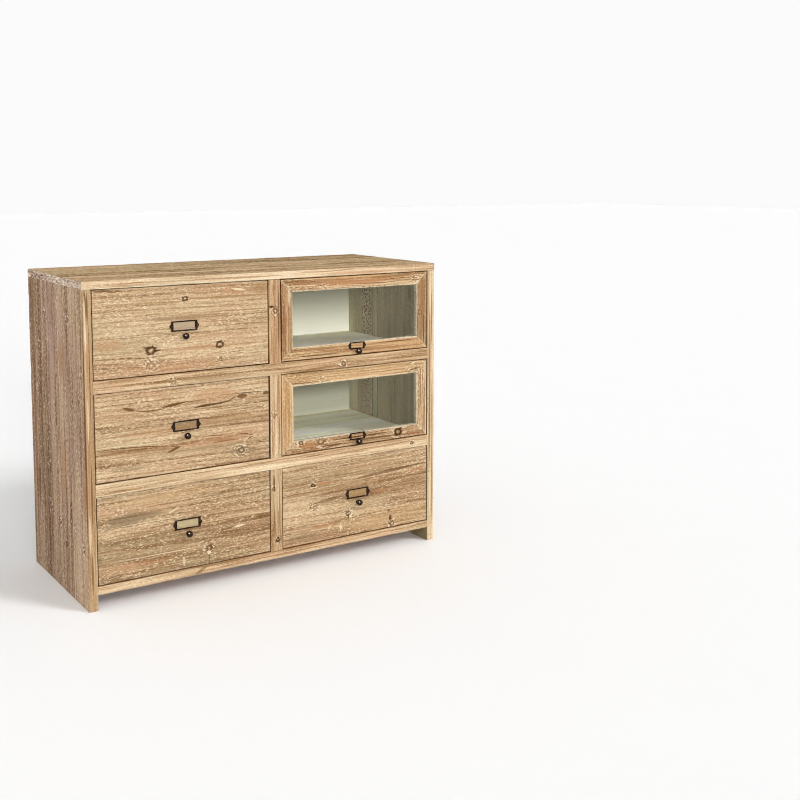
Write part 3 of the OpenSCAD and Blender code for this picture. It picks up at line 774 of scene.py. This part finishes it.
# Rows of along, across, length and width in millimetres, then stain, strength, rise, bow and fray.
MARKS: dict[str, list[Row]] = {
    "pine_rail": [(-430, 583, 50, 7, TAN), (120, 322, 90, 4), (-231, 53, 40, 12, BROWN, 0.6, 20)],
    "pine_stile": [(720, 0, 340, 70, RED, 0.3), (762, -9, 7, 26, DEEP_BROWN, 0.9), (730, 12, 200, 6, BROWN, 0.8),
        # The row 18 mm left of the stile's middle is a painted shadow: a dark line down its left edge, in the gap
        # beside the middle left drawer.
        (810, -4, 50, 4), (660, -10, 100, 5, TAN, 0.7), (450, -18, 360, 4, DEEP_BROWN, 0.95, 0, 0, 0.5),
        (500, 6, 140, 5, TAN, 0.7), (400, 12, 120, 4, BROWN, 0.6), (380, -9, 100, 7, RED, 0.6),
        (530, 0, 100, 12, LIME, 0.4), (180, 0, 320, 70, TAN, 0.3), (260, -7, 60, 6, BROWN, 0.9),
        (140, -6, 130, 5, BROWN, 0.8), (170, 10, 200, 4, BROWN, 0.6), (220, 6, 100, 6, LIME, 0.5)],
    "pine_side_edge": [(430, -531, 1400, 60, TAN, 0.45), (800, -535.5, 90, 9), (450, -542, 750, 5, BROWN, 0.9),
        (620, -527, 300, 3, BROWN, 0.8), (790, -530, 90, 5, BROWN, 0.8), (785, -537, 80, 4, LIME, 0.9),
        (715, -536, 90, 6, LIME, 0.8, -3), (660, -533, 100, 6, RED, 0.6), (500, -534, 140, 5, LIME, 0.6),
        (300, -529, 200, 6, BROWN, 0.7), (200, -536, 120, 7, LIME, 0.6), (100, -532, 120, 6, BROWN, 0.7),
        (500, 528, 600, 4, BROWN, 0.9), (700, 534, 200, 5), (750, 529, 120, 7, LIME, 0.6),
        (420, 536, 200, 6, RED, 0.6), (200, 536, 300, 6, BROWN, 0.6), (120, 529, 120, 6, LIME, 0.6)],
    "pine_side": [(520, 207, 800, 28, BROWN, 0.5), (50, 120, 800, 340, UMBER, 0.17, 0, 0, 0.1),
        (750, 40, 500, 90, PLUM, 0.4, 0, 0, 0.6), (100, -50, 500, 70, UMBER, 0.14, 0, 0, 0.6),
        (350, -44, 170, 36, RUST, 0.5, 0, 0, 3.0), (640, -40, 120, 36, RUST, 0.45, 0, 0, 3.0),
        (303, -212, 140, 30, RUST, 0.5, 0, 0, 3.0), (253, 187, 160, 26, BROWN, 0.5), (560, 143, 360, 5, BROWN, 0.8),
        (250, -62, 500, 6, BROWN, 0.7), (620, -62, 200, 5, BROWN, 0.6), (120, 75, 160, 7, BROWN, 0.7),
        (690, -212, 150, 6, BROWN, 0.8), (100, 120, 300, 20, GREY, 0.4), (550, 50, 400, 30, PLUM, 0.35),
        (440, -100, 340, 30, PLUM, 0.35)],
    "pine_far_side": [(600, 190, 500, 30, BROWN, 0.4), (300, 20, 400, 6, BROWN, 0.6),
        (500, -90, 500, 40, PLUM, 0.35, 0, 0, 0.6), (200, -200, 300, 7, BROWN, 0.6)],
    "pine_top": [(320, -63, 170, 22, BROWN, 0.75), (-200, -72, 240, 18, BROWN, 0.55), (65, -70, 70, 20, BROWN, 0.6),
        (300, -213, 320, 14, BROWN, 0.7), (-500, -217, 80, 12, BROWN, 0.5), (0, -190, 120, 30, RED, 0.4),
        (-50, 140, 500, 30, GREY, 0.4)],
    "pine_top_edge": [(300, 845, 350, 8, RED, 0.5), (-100, 848, 300, 5, TAN, 0.6), (-420, 843, 120, 6, TAN, 0.6),
        (450, 853, 120, 5, TAN, 0.6)],
    # The first two bands on the sage walls are painted shade: they darken the wall towards its front, the second
    # between about 0.2 m and 0.6 m up.
    "sage_wall": [(500, -200, 2000, 130, UMBER, 0.25, 0, 0, 0.3), (400, -140, 380, 260, UMBER, 0.36, 0, 0, 0.3),
        (760, -130, 60, 20, UMBER, 0.5)],
    # All three bands on the back panel are painted shade: they darken the lower compartment's back, most near its
    # top, and the upper compartment's back towards its top.
    "pale_wash_painted_shade": [(270, 440, 3000, 280, SAGE, 0.66, 0, 0, 0.01), (270, 490, 3000, 200, MOSS_SHADE, 0.7, 0, 0, 0.01),
        (270, 960, 3000, 667, SAGE, 0.6, 0, 0, 0.01)],
    "top_left_drawer_pine": [(26, 229, 60, 6, BROWN, 0.9, -4), (60, 224, 50, 4, BROWN, 0.7, 2),
        (380, 194, 260, 7, TAN, 0.7), (120, 190, 240, 6, TAN, 0.6), (395, 210, 90, 22, RED, 0.4),
        (408, 212, 45, 8, LIME, 0.9, -6), (478, 212, 60, 40, TAN, 0.5), (40, 86, 90, 30, RED, 0.35),
        (330, 62, 330, 16, RED, 0.3), (250, 146, 300, 16, GREY, 0.35), (230, 16, 420, 20, RED, 0.3),
        (172, 64, 26, 5, DEEP_BROWN, 0.8), (142, 72, 22, 6, DEEP_BROWN, 0.8, -5), (300, 148, 300, 3, TAN, 0.6),
        (60, 146, 130, 3, TAN, 0.6), (350, 70, 8, 12, DEEP_BROWN, 0.7), (208, 188, 90, 5, TAN, 0.7)],
    "middle_left_drawer_pine": [(91, 185, 38, 11, BROWN, 0.9, -11, -1), (150, 179, 104, 4, BROWN, 0.9, -2, -5),
        (214, 182, 78, 9, BROWN, 0.95, 9, 1), (146, 187, 24, 6, TAN, 0.8), (250, 187, 60, 2.5, BROWN, 0.8),
        (325, 173, 146, 5.5, DEEP_BROWN, 0.85, 10, -2), (305, 172, 60, 6, BROWN, 0.9, 4), (384, 181, 32, 4, DEEP_BROWN, 0.8, 11),
        (414, 185, 36, 16, BROWN, 0.85), (430, 193, 130, 3, DEEP_BROWN, 0.8, -3), (488, 186, 28, 11, BROWN, 0.85),
        (450, 180, 60, 3, TAN, 0.8), (330, 196, 150, 40, RED, 0.4), (362, 190, 60, 3, TAN, 0.7, 0, 4),
        (362, 181, 60, 3, TAN, 0.7, 0, -4), (100, 76.5, 256, 3.5, BROWN, 0.9, -14, 6),
        (86, 87, 180, 3, LIME, 0.7, -6, 2), (105, 71, 250, 19, RUST, 0.4, -12, 2), (105, 61, 200, 3, TAN, 0.7),
        (90, 77, 200, 4, BROWN, 0.5, -10), (150, 68, 180, 4, TAN, 0.8, -8), (213, 62, 44, 8, BROWN, 0.9, 15),
        (218, 69, 30, 4, DEEP_BROWN, 0.7, -4), (335, 82, 100, 3, BROWN, 0.8, -8, 3), (360, 64, 84, 4.5, BROWN, 0.95, 1, 3),
        (356, 71, 84, 13, TAN, 0.5, -4), (422, 77, 56, 3, DEEP_BROWN, 0.9, -13, 2), (438, 66, 20, 3.5, DEEP_BROWN, 0.9, 7),
        (330, 74, 330, 30, RED, 0.2), (190, 116, 300, 18, RED, 0.3), (370, 128, 170, 40, TAN, 0.45),
        (300, 112, 260, 4, BROWN, 0.6), (60, 168, 130, 3, TAN, 0.6), (90, 28, 120, 16, GREY, 0.4),
        (410, 34, 80, 26, GREY, 0.5)],
    "bottom_left_drawer_pine": [(95, 165, 180, 26, GREY, 0.7), (86, 168, 150, 5, BROWN, 0.5),
        (60, 150, 120, 12, GREY, 0.6), (180, 146, 330, 3, LIME, 0.5), (170, 53, 330, 3, LIME, 0.7),
        (314, 46, 12, 22, RUST, 0.9), (310, 16, 6, 34, BROWN, 0.7), (309, 33, 12, 17, LIME, 0.95),
        (313, 50, 8, 8, DEEP_BROWN, 0.5), (236, 22, 10, 26, LIME, 0.6), (400, 90, 46, 7, LIME, 0.9, 3),
        (212, 167, 34, 6, LIME, 0.7, 14), (470, 104, 60, 9, BROWN, 0.6), (380, 115, 240, 4, TAN, 0.6),
        (300, 70, 260, 8, BROWN, 0.35, -8), (120, 36, 200, 16, RED, 0.35), (330, 150, 200, 24, TAN, 0.3),
        (190, 208, 340, 24, GOLD, 0.3)],
    "bottom_right_drawer_pine": [(360, 30, 420, 70, GOLD, 0.3), (80, 223, 80, 5, TAN, 0.7),
        (360, 172, 290, 10, BROWN, 0.75, 16, 2), (138, 169, 70, 9, RED, 0.8), (462, 164, 64, 8, RED, 0.7),
        (150, 118, 110, 12, BROWN, 0.65, 10), (330, 118, 70, 10, RED, 0.6), (132, 43, 110, 8, RED, 0.7, 6),
        (195, 52, 56, 6, TAN, 0.8, 12), (216, 62, 7, 30, BROWN, 0.8), (222, 64, 7, 26, LIME, 0.9),
        (190, 28, 9, 22, LIME, 0.8), (364, 28, 12, 22, DEEP_BROWN, 0.8), (358, 52, 12, 7, DEEP_BROWN, 0.7),
        (372, 10, 10, 12, LIME, 0.9), (40, 174, 90, 6, TAN, 0.7), (186, 50, 70, 3, TAN, 0.8, 10),
        (300, 182, 300, 3, TAN, 0.7, 8), (100, 176, 150, 3, BROWN, 0.6), (60, 20, 120, 30, GREY, 0.35),
        (300, 200, 300, 18, RED, 0.25), (250, 150, 420, 14, TAN, 0.35)],
    "upper_door_pine_level": [(250, 18, 800, 60, GOLD, 0.2), (250, 213, 300, 10, RED, 0.7),
        (300, 12, 350, 6, RUST, 0.7), (150, 28, 200, 5, TAN, 0.7), (400, 226, 200, 6, TAN, 0.7),
        (90, 218, 130, 12, RUST, 0.6), (360, 222, 160, 6, RUST, 0.7), (120, 9, 160, 5, DEEP_BROWN, 0.6),
        (380, 28, 160, 4, DEEP_BROWN, 0.6), (200, 228, 400, 4, GOLD, 0.6), (400, 20, 200, 6, GOLD, 0.6)],
    "upper_door_pine_upright": [(120, 18, 340, 70, RUST, 0.45), (118, 477.5, 400, 80, BROWN, 0.25),
        (118, 477.5, 300, 50, RUST, 0.4), (150, 480, 200, 16, RUST, 0.7), (70, 462, 120, 6, BROWN, 0.6),
        # The row 0.8 mm in from the flap's left edge is a painted shadow: a dark line in the gap beside the centre
        # stile.
        (60, 485, 100, 7, DEEP_BROWN, 0.6), (118, 0.8, 300, 4, DEEP_BROWN, 0.95, 0, 0, 0.5), (100, 12, 180, 6, RUST, 0.8),
        (60, 20, 100, 6, GOLD, 0.6), (190, 26, 80, 10, LIME, 0.6)],
    "lower_door_pine_level": [(90, 18, 80, 16, RED, 0.8), (230, 24, 130, 5, DEEP_BROWN, 0.8), (310, 12, 200, 6, BROWN, 0.8),
        (220, 205, 300, 7, RED, 0.6), (380, 200, 140, 6, RUST, 0.7), (250, 18, 700, 60, BROWN, 0.25),
        (310, 24, 80, 5, DEEP_BROWN, 0.7), (170, 10, 100, 5, DEEP_BROWN, 0.6), (440, 10, 120, 6, RUST, 0.7),
        (200, 224, 300, 4, RUST, 0.6), (250, 220, 700, 60, GOLD, 0.3)],
    "lower_door_pine_upright": [(118, 18, 360, 70, GOLD, 0.35), (100, 12, 180, 4, RUST, 0.6),
        (130, 24, 160, 4, RUST, 0.6), (90, 6, 120, 4, RUST, 0.6), (60, 488, 100, 10, RUST, 0.6),
        (150, 474, 140, 5, RUST, 0.6), (130, 488, 140, 5, BROWN, 0.5)],
}
# The partition's inside face takes these marks too, painted shade included.
MARKS["sage_partition"] = MARKS["sage_wall"]


@dataclass
class Case:
    """The fixed case: top, sides, rails, stiles, bottom and what stands inside."""

    body: str = "case"
    wear: Wear = Wear()
    back_wear: Wear = Wear(arris=0.0004, bites=0.0, stretch=2.0)
    board_seams: tuple[float, ...] = (-0.1085, 0.01025, 0.129)
    facing: float = 0.6

    def build(self) -> None:
        """Builds and dresses every board of the case."""
        for node, materials, choose in self.outer_boards():
            put_worn(node, self.body, self.wear, *materials, choose=choose)
        self.inner_boards()

    def outer_boards(self) -> list[tuple]:
        """The boards that show outside.

        Returns:
            Each board's node, its materials, and what chooses among them.
        """
        low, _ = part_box("left_side")
        rail, stile, edge = self.front_woods(low.y)
        side, far_side = self.side_woods()
        inner = self.wall("sage_wall")

        def top_face(middle: Vector, normal: Vector) -> int:
            """The top's own face, its front edge or its end grain."""
            if abs(normal.x) > self.facing:
                return 2
            return 1 if abs(normal.y) > self.facing and middle.y < 0 else 0

        def side_face(middle: Vector, normal: Vector) -> int:
            """A side's face outside, its front edge or its face inside."""
            if normal.y < -self.facing:
                return 1
            inward = normal.x * middle.x < 0 and abs(normal.x) > self.facing
            return 2 if inward else 0

        return [
            ("top_board", self.top_woods(low.y), top_face),
            ("left_side", (side, edge, inner), side_face),
            ("right_side", (far_side, edge, inner), side_face),
            *((node, (rail,), None) for node in ("upper_rail", "lower_rail", "bottom_board")),
            ("centre_stiles", (stile,), None),
        ]

    def front_woods(self, front: float) -> tuple[bpy.types.Material, ...]:
        """The honey-coloured finishes of the rails, of the stiles and of the sides' front edges."""
        rail = Pine("pine_rail", Run.FRONT_LEVEL, warmth=0.02, face_at=front, seed=0.9, seams=(0.2, 0.45),
                    tones=(0.24, 0.0, 0.14), **HONEY)
        stile = Pine("pine_stile", Run.FRONT_UPRIGHT, seed=3.1, face_at=front, tones=(0.06,), coarse=1.3, **HONEY)
        edge = Pine("pine_side_edge", Run.FRONT_UPRIGHT, seed=5.3, pith=-0.5, face_at=front, coarse=1.3, **HONEY)
        return rail.material(), stile.material(), edge.material()

    def side_woods(self) -> tuple[bpy.types.Material, ...]:
        """The mauve-brown finishes of the left side and of the right side."""
        side = Pine("pine_side", seed=7.7, knot_fray=3.4, seams=self.board_seams, **MAUVE)
        far_side = Pine("pine_far_side", seed=17.7, seams=self.board_seams, **MAUVE)
        return side.material(), far_side.material()

    def top_woods(self, front: float) -> tuple[bpy.types.Material, ...]:
        """The finishes of the top, of its front edge and of its end grain."""
        top = Pine("pine_top", Run.TOP_LEVEL, Stands.TOP, pale=(208, 182, 144), middle=(180, 153, 117),
                   dark=(108, 80, 52), pink=(186, 148, 112), olive=(170, 152, 110), lime_tint=(222, 202, 166),
                   lime=0.6, fleck=1.2, flat=3.6, stripes=2.8, coarse=2.4, seed=9.1, seams=self.board_seams,
                   tones=(0.0, 0.04, 0.04, 0.1), seam_dark=0.6)
        edge = Pine("pine_top_edge", Run.FRONT_LEVEL, pale=(250, 229, 195), middle=(226, 196, 157),
                    dark=(162, 120, 78), hue=0.4, seed=11.3, face_at=front, stripes=2.2, tones=(0.06,), speckle=0.9,
                    lime=0.4, pores=0.2)
        end = Pine("pine_end_grain", Run.END_ON, Stands.SIDE, pale=(222, 206, 190), middle=(188, 166, 148),
                   dark=(98, 76, 60), pink=(198, 174, 160), olive=(186, 169, 146), lime_tint=(236, 222, 206),
                   ring_gap=0.004, lime=0.95, fleck=1.7, speckle=2.2, stripes=2.4, seed=1.7)
        return top.material(), edge.material(), end.material()

    def wall(self, name: str) -> bpy.types.Material:
        """The sage-grey inside of the sides, with rough saw marks on its rear board."""
        return Pine(name, Run.SIDE_UPRIGHT, Stands.WALL, pale=(160, 152, 126), middle=(130, 120, 94),
                    dark=(84, 74, 54), pink=(130, 114, 90), olive=(122, 118, 90), lime_tint=(172, 164, 138),
                    lime=0.25, rings=0.08, streaks=0.2, seed=2.2, stripes=0.6, coarse=1.2, fibres=0.9, speckle=0.5,
                    pores=0.2, seams=(0.0585, 0.0895), tones=(0.12, 0.02, -0.06), seam_dark=1.4,
                    seam_tint=(50, 42, 28), seam_width=0.0034, saw_from=0.092).material()

    def inner_boards(self) -> None:
        """Dresses the boards that stand inside the case, and its back."""
        floor = Pine("sage_floor", stands=Stands.SHELF, dark=(140, 134, 108), tones=(-0.1, 0.0, 0.04, 0.14),
                     **SAGE_BOARDS).material()
        # Painted light: the upper shelf's floor is a paler copy of the sage floor, with lighter tones and darks,
        # standing in for the light that falls on it through the glass.
        lit_upper_floor = Pine("sage_upper_floor", stands=Stands.UPPER_SHELF, dark=(156, 152, 128),
                           tones=(-0.2, -0.2, -0.1, 0.04), **SAGE_BOARDS).material()
        # The back panel's pale wash carries painted shade bands from MARKS.
        wash = Pine("pale_wash_painted_shade", Run.FRONT_LEVEL, Stands.FREE, pale=(250, 250, 236), middle=(246, 247, 230),
                    dark=(232, 233, 212), pink=(244, 243, 226), olive=(240, 244, 224), lime_tint=(250, 250, 240),
                    rings=0.0, lime=0.0, pores=0.0, speckle=0.1, streaks=0.0, stripes=0.3, seed=6.6).material()
        inner = self.wall("sage_partition")
        bare, strip_wood = (
            Pine(name, run, lime=0.0, hue=0.3, pale=(232, 208, 166), middle=(214, 184, 138), dark=(176, 138, 94),
                 olive=(212, 186, 142)).material()
            for name, run in (("bare_pine", Run.FRONT_LEVEL), ("strip_pine", Run.END_ON)))
        put_worn("back_panel", self.body, self.back_wear, wash, bare,
                 choose=lambda _, normal: int(normal.y > -self.facing))
        for node, material in (
            ("upper_shelf", lit_upper_floor), ("lower_shelf", floor), ("centre_partition", inner),
            ("drawer_runners", strip_wood), ("drawer_guides", strip_wood), ("stop_blocks", bare),
        ):
            dress(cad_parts[node], material)


@dataclass
class Fittings:
    """The turned knob and the eared label holder of one front."""

    body: str
    metal: bpy.types.Material
    wear: Wear = Wear(arris=0.00025, bites=0.0, stretch=1.0, shortest=0.003)
    ear_hole_in: float = 0.0045
    plate: float = 0.0016
    pin_head: float = 0.0015
    pin_flatness: float = 0.7

    def build(self) -> None:
        """Builds the knob, the holder and the two small pins in its ears."""
        knob = smooth_copy(self.body + "_knob")
        dress(knob, self.metal)
        take_place(knob, self.body + "_knob", self.body)
        put_worn(self.body + "_label_holder", self.body, self.wear, self.metal)
        pins = self.pins()
        dress(pins, self.metal)
        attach(pins, self.body)
        LOG.info("%s rides on %s", pins.name, self.body)

    def pins(self) -> bpy.types.Object:
        """Makes the domed heads of the two pins."""
        low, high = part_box(self.body + "_label_holder")
        mesh = bmesh.new()
        for x in (low.x + self.ear_hole_in, high.x - self.ear_hole_in):
            head = bmesh.ops.create_uvsphere(mesh, u_segments=16, v_segments=8, radius=self.pin_head)["verts"]
            bmesh.ops.scale(mesh, vec=(1.0, self.pin_flatness, 1.0), verts=head)
            place = Vector((x, high.y - self.plate, (low.z + high.z) / 2))
            bmesh.ops.translate(mesh, vec=place, verts=head)
        for face in mesh.faces:
            face.smooth = True
        return new_piece(self.body + "_holder_pins", mesh)


@dataclass
class Drawer:
    """A drawer: its limed front, its bare box and its fittings."""

    name: str
    finish: Pine
    rim: bpy.types.Material
    side_wood: bpy.types.Material
    back_wood: bpy.types.Material
    floor_wood: bpy.types.Material
    metal: bpy.types.Material
    wear: Wear = Wear(arris=0.0008, bites=0.0011)
    upward: float = 0.8

    def build(self) -> None:
        """Builds and dresses the drawer."""
        # The fronts' top faces take the rim wood, made pale as painted light.
        put_worn(self.name + "_front", self.name, self.wear, self.finish.material(), self.rim,
                 choose=lambda _, normal: int(normal.z > self.upward))
        for part, wood in (("left_side", self.side_wood), ("right_side", self.side_wood),
                           ("back", self.back_wood), ("bottom", self.floor_wood)):
            dress(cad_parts[f"{self.name}_{part}"], wood)
        Fittings(self.name, self.metal).build()


@dataclass
class Flap:
    """A glazed flap: its mitred frame, pane, beads, pivot pins and fittings."""

    name: str
    warmth: float
    seed: float
    metal: bpy.types.Material
    steel: bpy.types.Material
    wear: Wear = Wear(arris=0.0007, bites=0.0008)
    limed_in: float = 0.03
    limed_depth: float = 0.012
    facing: float = 0.6

    def build(self) -> None:
        """Builds and dresses the flap."""
        left, low, _, _ = front_box(self.name + "_left_stile")
        _, _, right, high = front_box(self.name + "_right_stile")
        front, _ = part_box(self.name + "_left_stile")
        shared = dict(rings=0.4, ring_gap=0.0085, lime=0.6, hue=0.6, streaks=0.6, frame_box=(left, low, right, high),
                      face_at=front.y, pale=(241, 213, 171), middle=(208, 172, 129), dark=(132, 88, 50), fleck=0.9,
                      stripes=1.7, fibres=2.2, speckle=1.1, pores=0.3, pink=(194, 144, 99), olive=(192, 165, 121),
                      warmth=self.warmth)
        level = Pine(self.name + "_pine_level", Run.FRONT_LEVEL, corner=(left, low), seed=self.seed,
                     **shared).material()
        upright = Pine(self.name + "_pine_upright", Run.FRONT_UPRIGHT, corner=(low, left), seed=self.seed + 1.3,
                       **shared).material()
        sill = Pine(self.name + "_limed_edge", Run.FRONT_LEVEL, lime=1.0, hue=0.2, seed=self.seed + 2.1,
                    pale=(244, 236, 214), middle=(228, 218, 194), dark=(196, 180, 152)).material()

        def member_face(middle: Vector, normal: Vector) -> int:
            """The member's own faces, or the limed edge round the pane."""
            across, up = middle.x - (left + right) / 2, middle.z - (low + high) / 2
            inward = normal.x * across < -self.facing * abs(across) or normal.z * up < -self.facing * abs(up)
            inside = abs(across) < (right - left) / 2 - self.limed_in and abs(up) < (high - low) / 2 - self.limed_in
            near_front = middle.y < front.y + self.limed_depth
            return 1 if inward and inside and near_front else 0

        for part, wood in (("top_rail", level), ("bottom_rail", level), ("left_stile", upright),
                           ("right_stile", upright)):
            put_worn(f"{self.name}_{part}", self.name, self.wear, wood, sill, choose=member_face)
        pane = Pane(self.name + "_pane", front_box(self.name + "_glass")).material()
        dress(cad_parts[self.name + "_glass"], pane)
        dress(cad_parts[self.name + "_beads"], sill)
        dress(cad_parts[self.name + "_pivot_pins"], self.steel)
        Fittings(self.name, self.metal).build()


@dataclass
class Studio:
    """The pale floor, the soft lights and the camera."""

    camera_at: tuple[float, float, float] = (-1.450, -3.04525, 1.129)
    yaw: float = 33.55
    pitch: float = 5.31
    lens: float = 51.26
    film: float = 36.0
    shift_up: float = -0.15
    room_light: float = 0.6
    room_shown: float = 0.965
    floor_size: float = 30.0

    def build(self) -> None:
        """Sets the camera, the floor and the lights."""
        self.camera()
        self.floor()
        self.world()
        self.lamp("key", side=36.0, height=32.0, spread=20.0, strength=1.8)
        self.lamp("front_light", side=-14.0, height=11.0, spread=16.0, strength=2.05)
        self.lamp("spark", side=-46.0, height=48.0, spread=36.0, strength=34.0).visible_diffuse = False
        bpy.context.scene.view_settings.view_transform = "Standard"
        bpy.context.scene.cycles.filter_width = 1.0

    def aim(self, thing: bpy.types.Object, side: float, rise: float) -> None:
        """Links a camera or a lamp and points it towards the back, turned right and up by degrees."""
        turn, rise = math.radians(side), math.radians(rise)
        forward = Vector((math.sin(turn) * math.cos(rise), math.cos(turn) * math.cos(rise), math.sin(rise)))
        thing.rotation_mode = "QUATERNION"
        thing.rotation_quaternion = forward.to_track_quat("-Z", "Y")
        bpy.context.scene.collection.objects.link(thing)

    def camera(self) -> None:
        """Stands the camera where the photograph was taken."""
        data = bpy.data.cameras.new("camera")
        data.lens, data.sensor_width, data.shift_y = self.lens, self.film, self.shift_up
        camera = bpy.data.objects.new("camera", data)
        camera.location = self.camera_at
        self.aim(camera, self.yaw, -self.pitch)
        bpy.context.scene.camera = camera

    def floor(self) -> None:
        """Lays a wide pale floor."""
        mesh = bmesh.new()
        bmesh.ops.create_grid(mesh, x_segments=1, y_segments=1, size=self.floor_size)
        floor = new_piece("floor", mesh)
        g = Graph("floor_paper")
        speck = g.clouds(g.place(), (3, 3, 3), 2.0)
        colour = g.blend(speck, paint(246, 246, 246), paint(250, 250, 250))
        dress(floor, g.surface(colour, 0.9, Specular_IOR_Level=0.1))

    def world(self) -> None:
        """Fills the room with even white light, which shows brighter than it shines."""
        world = bpy.data.worlds.new("room")
        world.use_nodes = True
        tree = world.node_tree
        seen = tree.nodes.new("ShaderNodeLightPath").outputs["Is Camera Ray"]
        amount = tree.nodes.new("ShaderNodeMapRange")
        amount.inputs["To Min"].default_value = self.room_light
        amount.inputs["To Max"].default_value = self.room_shown
        tree.links.new(seen, amount.inputs["Value"])
        back = tree.nodes["Background"]
        back.inputs["Color"].default_value = (1.0, 1.0, 1.0, 1.0)
        tree.links.new(amount.outputs[0], back.inputs["Strength"])
        bpy.context.scene.world = world

    def lamp(self, name: str, side: float, height: float, spread: float, strength: float) -> bpy.types.Object:
        """Sets a soft light, as even as daylight through a large window.

        Args:
            name: The light's name.
            side: How far to the right of the chest's front it stands, in degrees.
            height: How high it stands, in degrees.
            spread: How wide it looks from the chest, in degrees.
            strength: Its light on a surface that faces it, in watts a square metre.

        Returns:
            The light.
        """
        data = bpy.data.lights.new(name, "SUN")
        data.angle, data.energy = math.radians(spread), strength
        lamp = bpy.data.objects.new(name, data)
        self.aim(lamp, -side, -height)
        return lamp


def front_finish(name: str, seams: Sequence[float] = (), **looks: object) -> Pine:
    """A drawer front's finish, measured in millimetres from its lower left corner.

    Args:
        name: The drawer.
        seams: How high its seams lie.
        looks: Other values of the finish.

    Returns:
        The finish, with the window of its label holder.
    """
    low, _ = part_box(name + "_front")
    left, bottom, right, top = front_box(name + "_label_holder")
    ear, rim = 0.0095, 0.003
    return Pine(name + "_pine", Run.FRONT_LEVEL, face_at=low.y, corner=(low.x, low.z),
                seams=tuple(low.z + seam / MM for seam in seams),
                label_window=(left + ear, bottom + rim, right - ear, top - rim), **looks)


def drawer_finishes() -> dict[str, Pine]:
    """The four drawer fronts, each cut from other boards.

    Returns:
        The finish of each drawer's front.
    """
    looks = {
        "top_left_drawer": dict(
            seams=[103], tones=(0.08, -0.06), seed=0.3, pith=0.9, behind_label=(178, 160, 134)),
        "middle_left_drawer": dict(
            seams=[59, 170], tones=(0.04, 0.0, -0.04), seed=2.9, pith=0.46, pith_depth=0.02, rings=0.2,
            streaks=0.45, seam_dark=0.15, warmth=0.01, stripes=1.2, behind_label=(142, 120, 86)),
        "bottom_left_drawer": dict(
            seams=[53, 115, 176], tones=(0.2, 0.26, 0.2, 0.18), seed=6.1, pith=0.3, warmth=-0.03, seam_dark=0.35,
            olive=(170, 150, 114), behind_label=(196, 182, 140)),
        "bottom_right_drawer": dict(
            tones=(0.13,), seed=8.8, pith=0.36, taper=0.03, streaks=0.45, stripes=1.3, behind_label=(178, 142, 98)),
    }
    return {name: front_finish(name, **values) for name, values in looks.items()}


def main() -> None:
    """Builds the whole dressed chest and its studio."""
    logging.basicConfig(level=logging.INFO, format="%(name)s: %(message)s")
    metal = Bronze().material()
    steel = Steel().material()
    side_wood, back_wood, floor_wood = (
        Pine(name, run, rings=0.15, lime=0.05, hue=0.3, seed=12.5, pale=(232, 205, 160),
             middle=(214, 182, 134), dark=(176, 136, 90)).material()
        for name, run in (("box_pine_side", Run.END_ON), ("box_pine_back", Run.FRONT_LEVEL),
                          ("box_pine_floor", Run.TOP_LEVEL)))
    # Painted light: the drawer fronts' top faces take bare wood made paler and fully bright, so the thin gap above
    # each front reads as lit.
    rim = Pine("pine_upper_rim_painted_light", Run.FRONT_LEVEL, Stands.FREE, pale=(250, 236, 206), middle=(246, 224, 188),
               dark=(214, 184, 142), seed=14.1).material()
    Studio().build()
    Case().build()
    for name, finish in drawer_finishes().items():
        Drawer(name, finish, rim, side_wood, back_wood, floor_wood, metal).build()
    Flap("upper_door", 0.03, 1.9, metal, steel).build()
    Flap("lower_door", 0.0, 5.6, metal, steel).build()


if __name__ == "__main__":
    main()
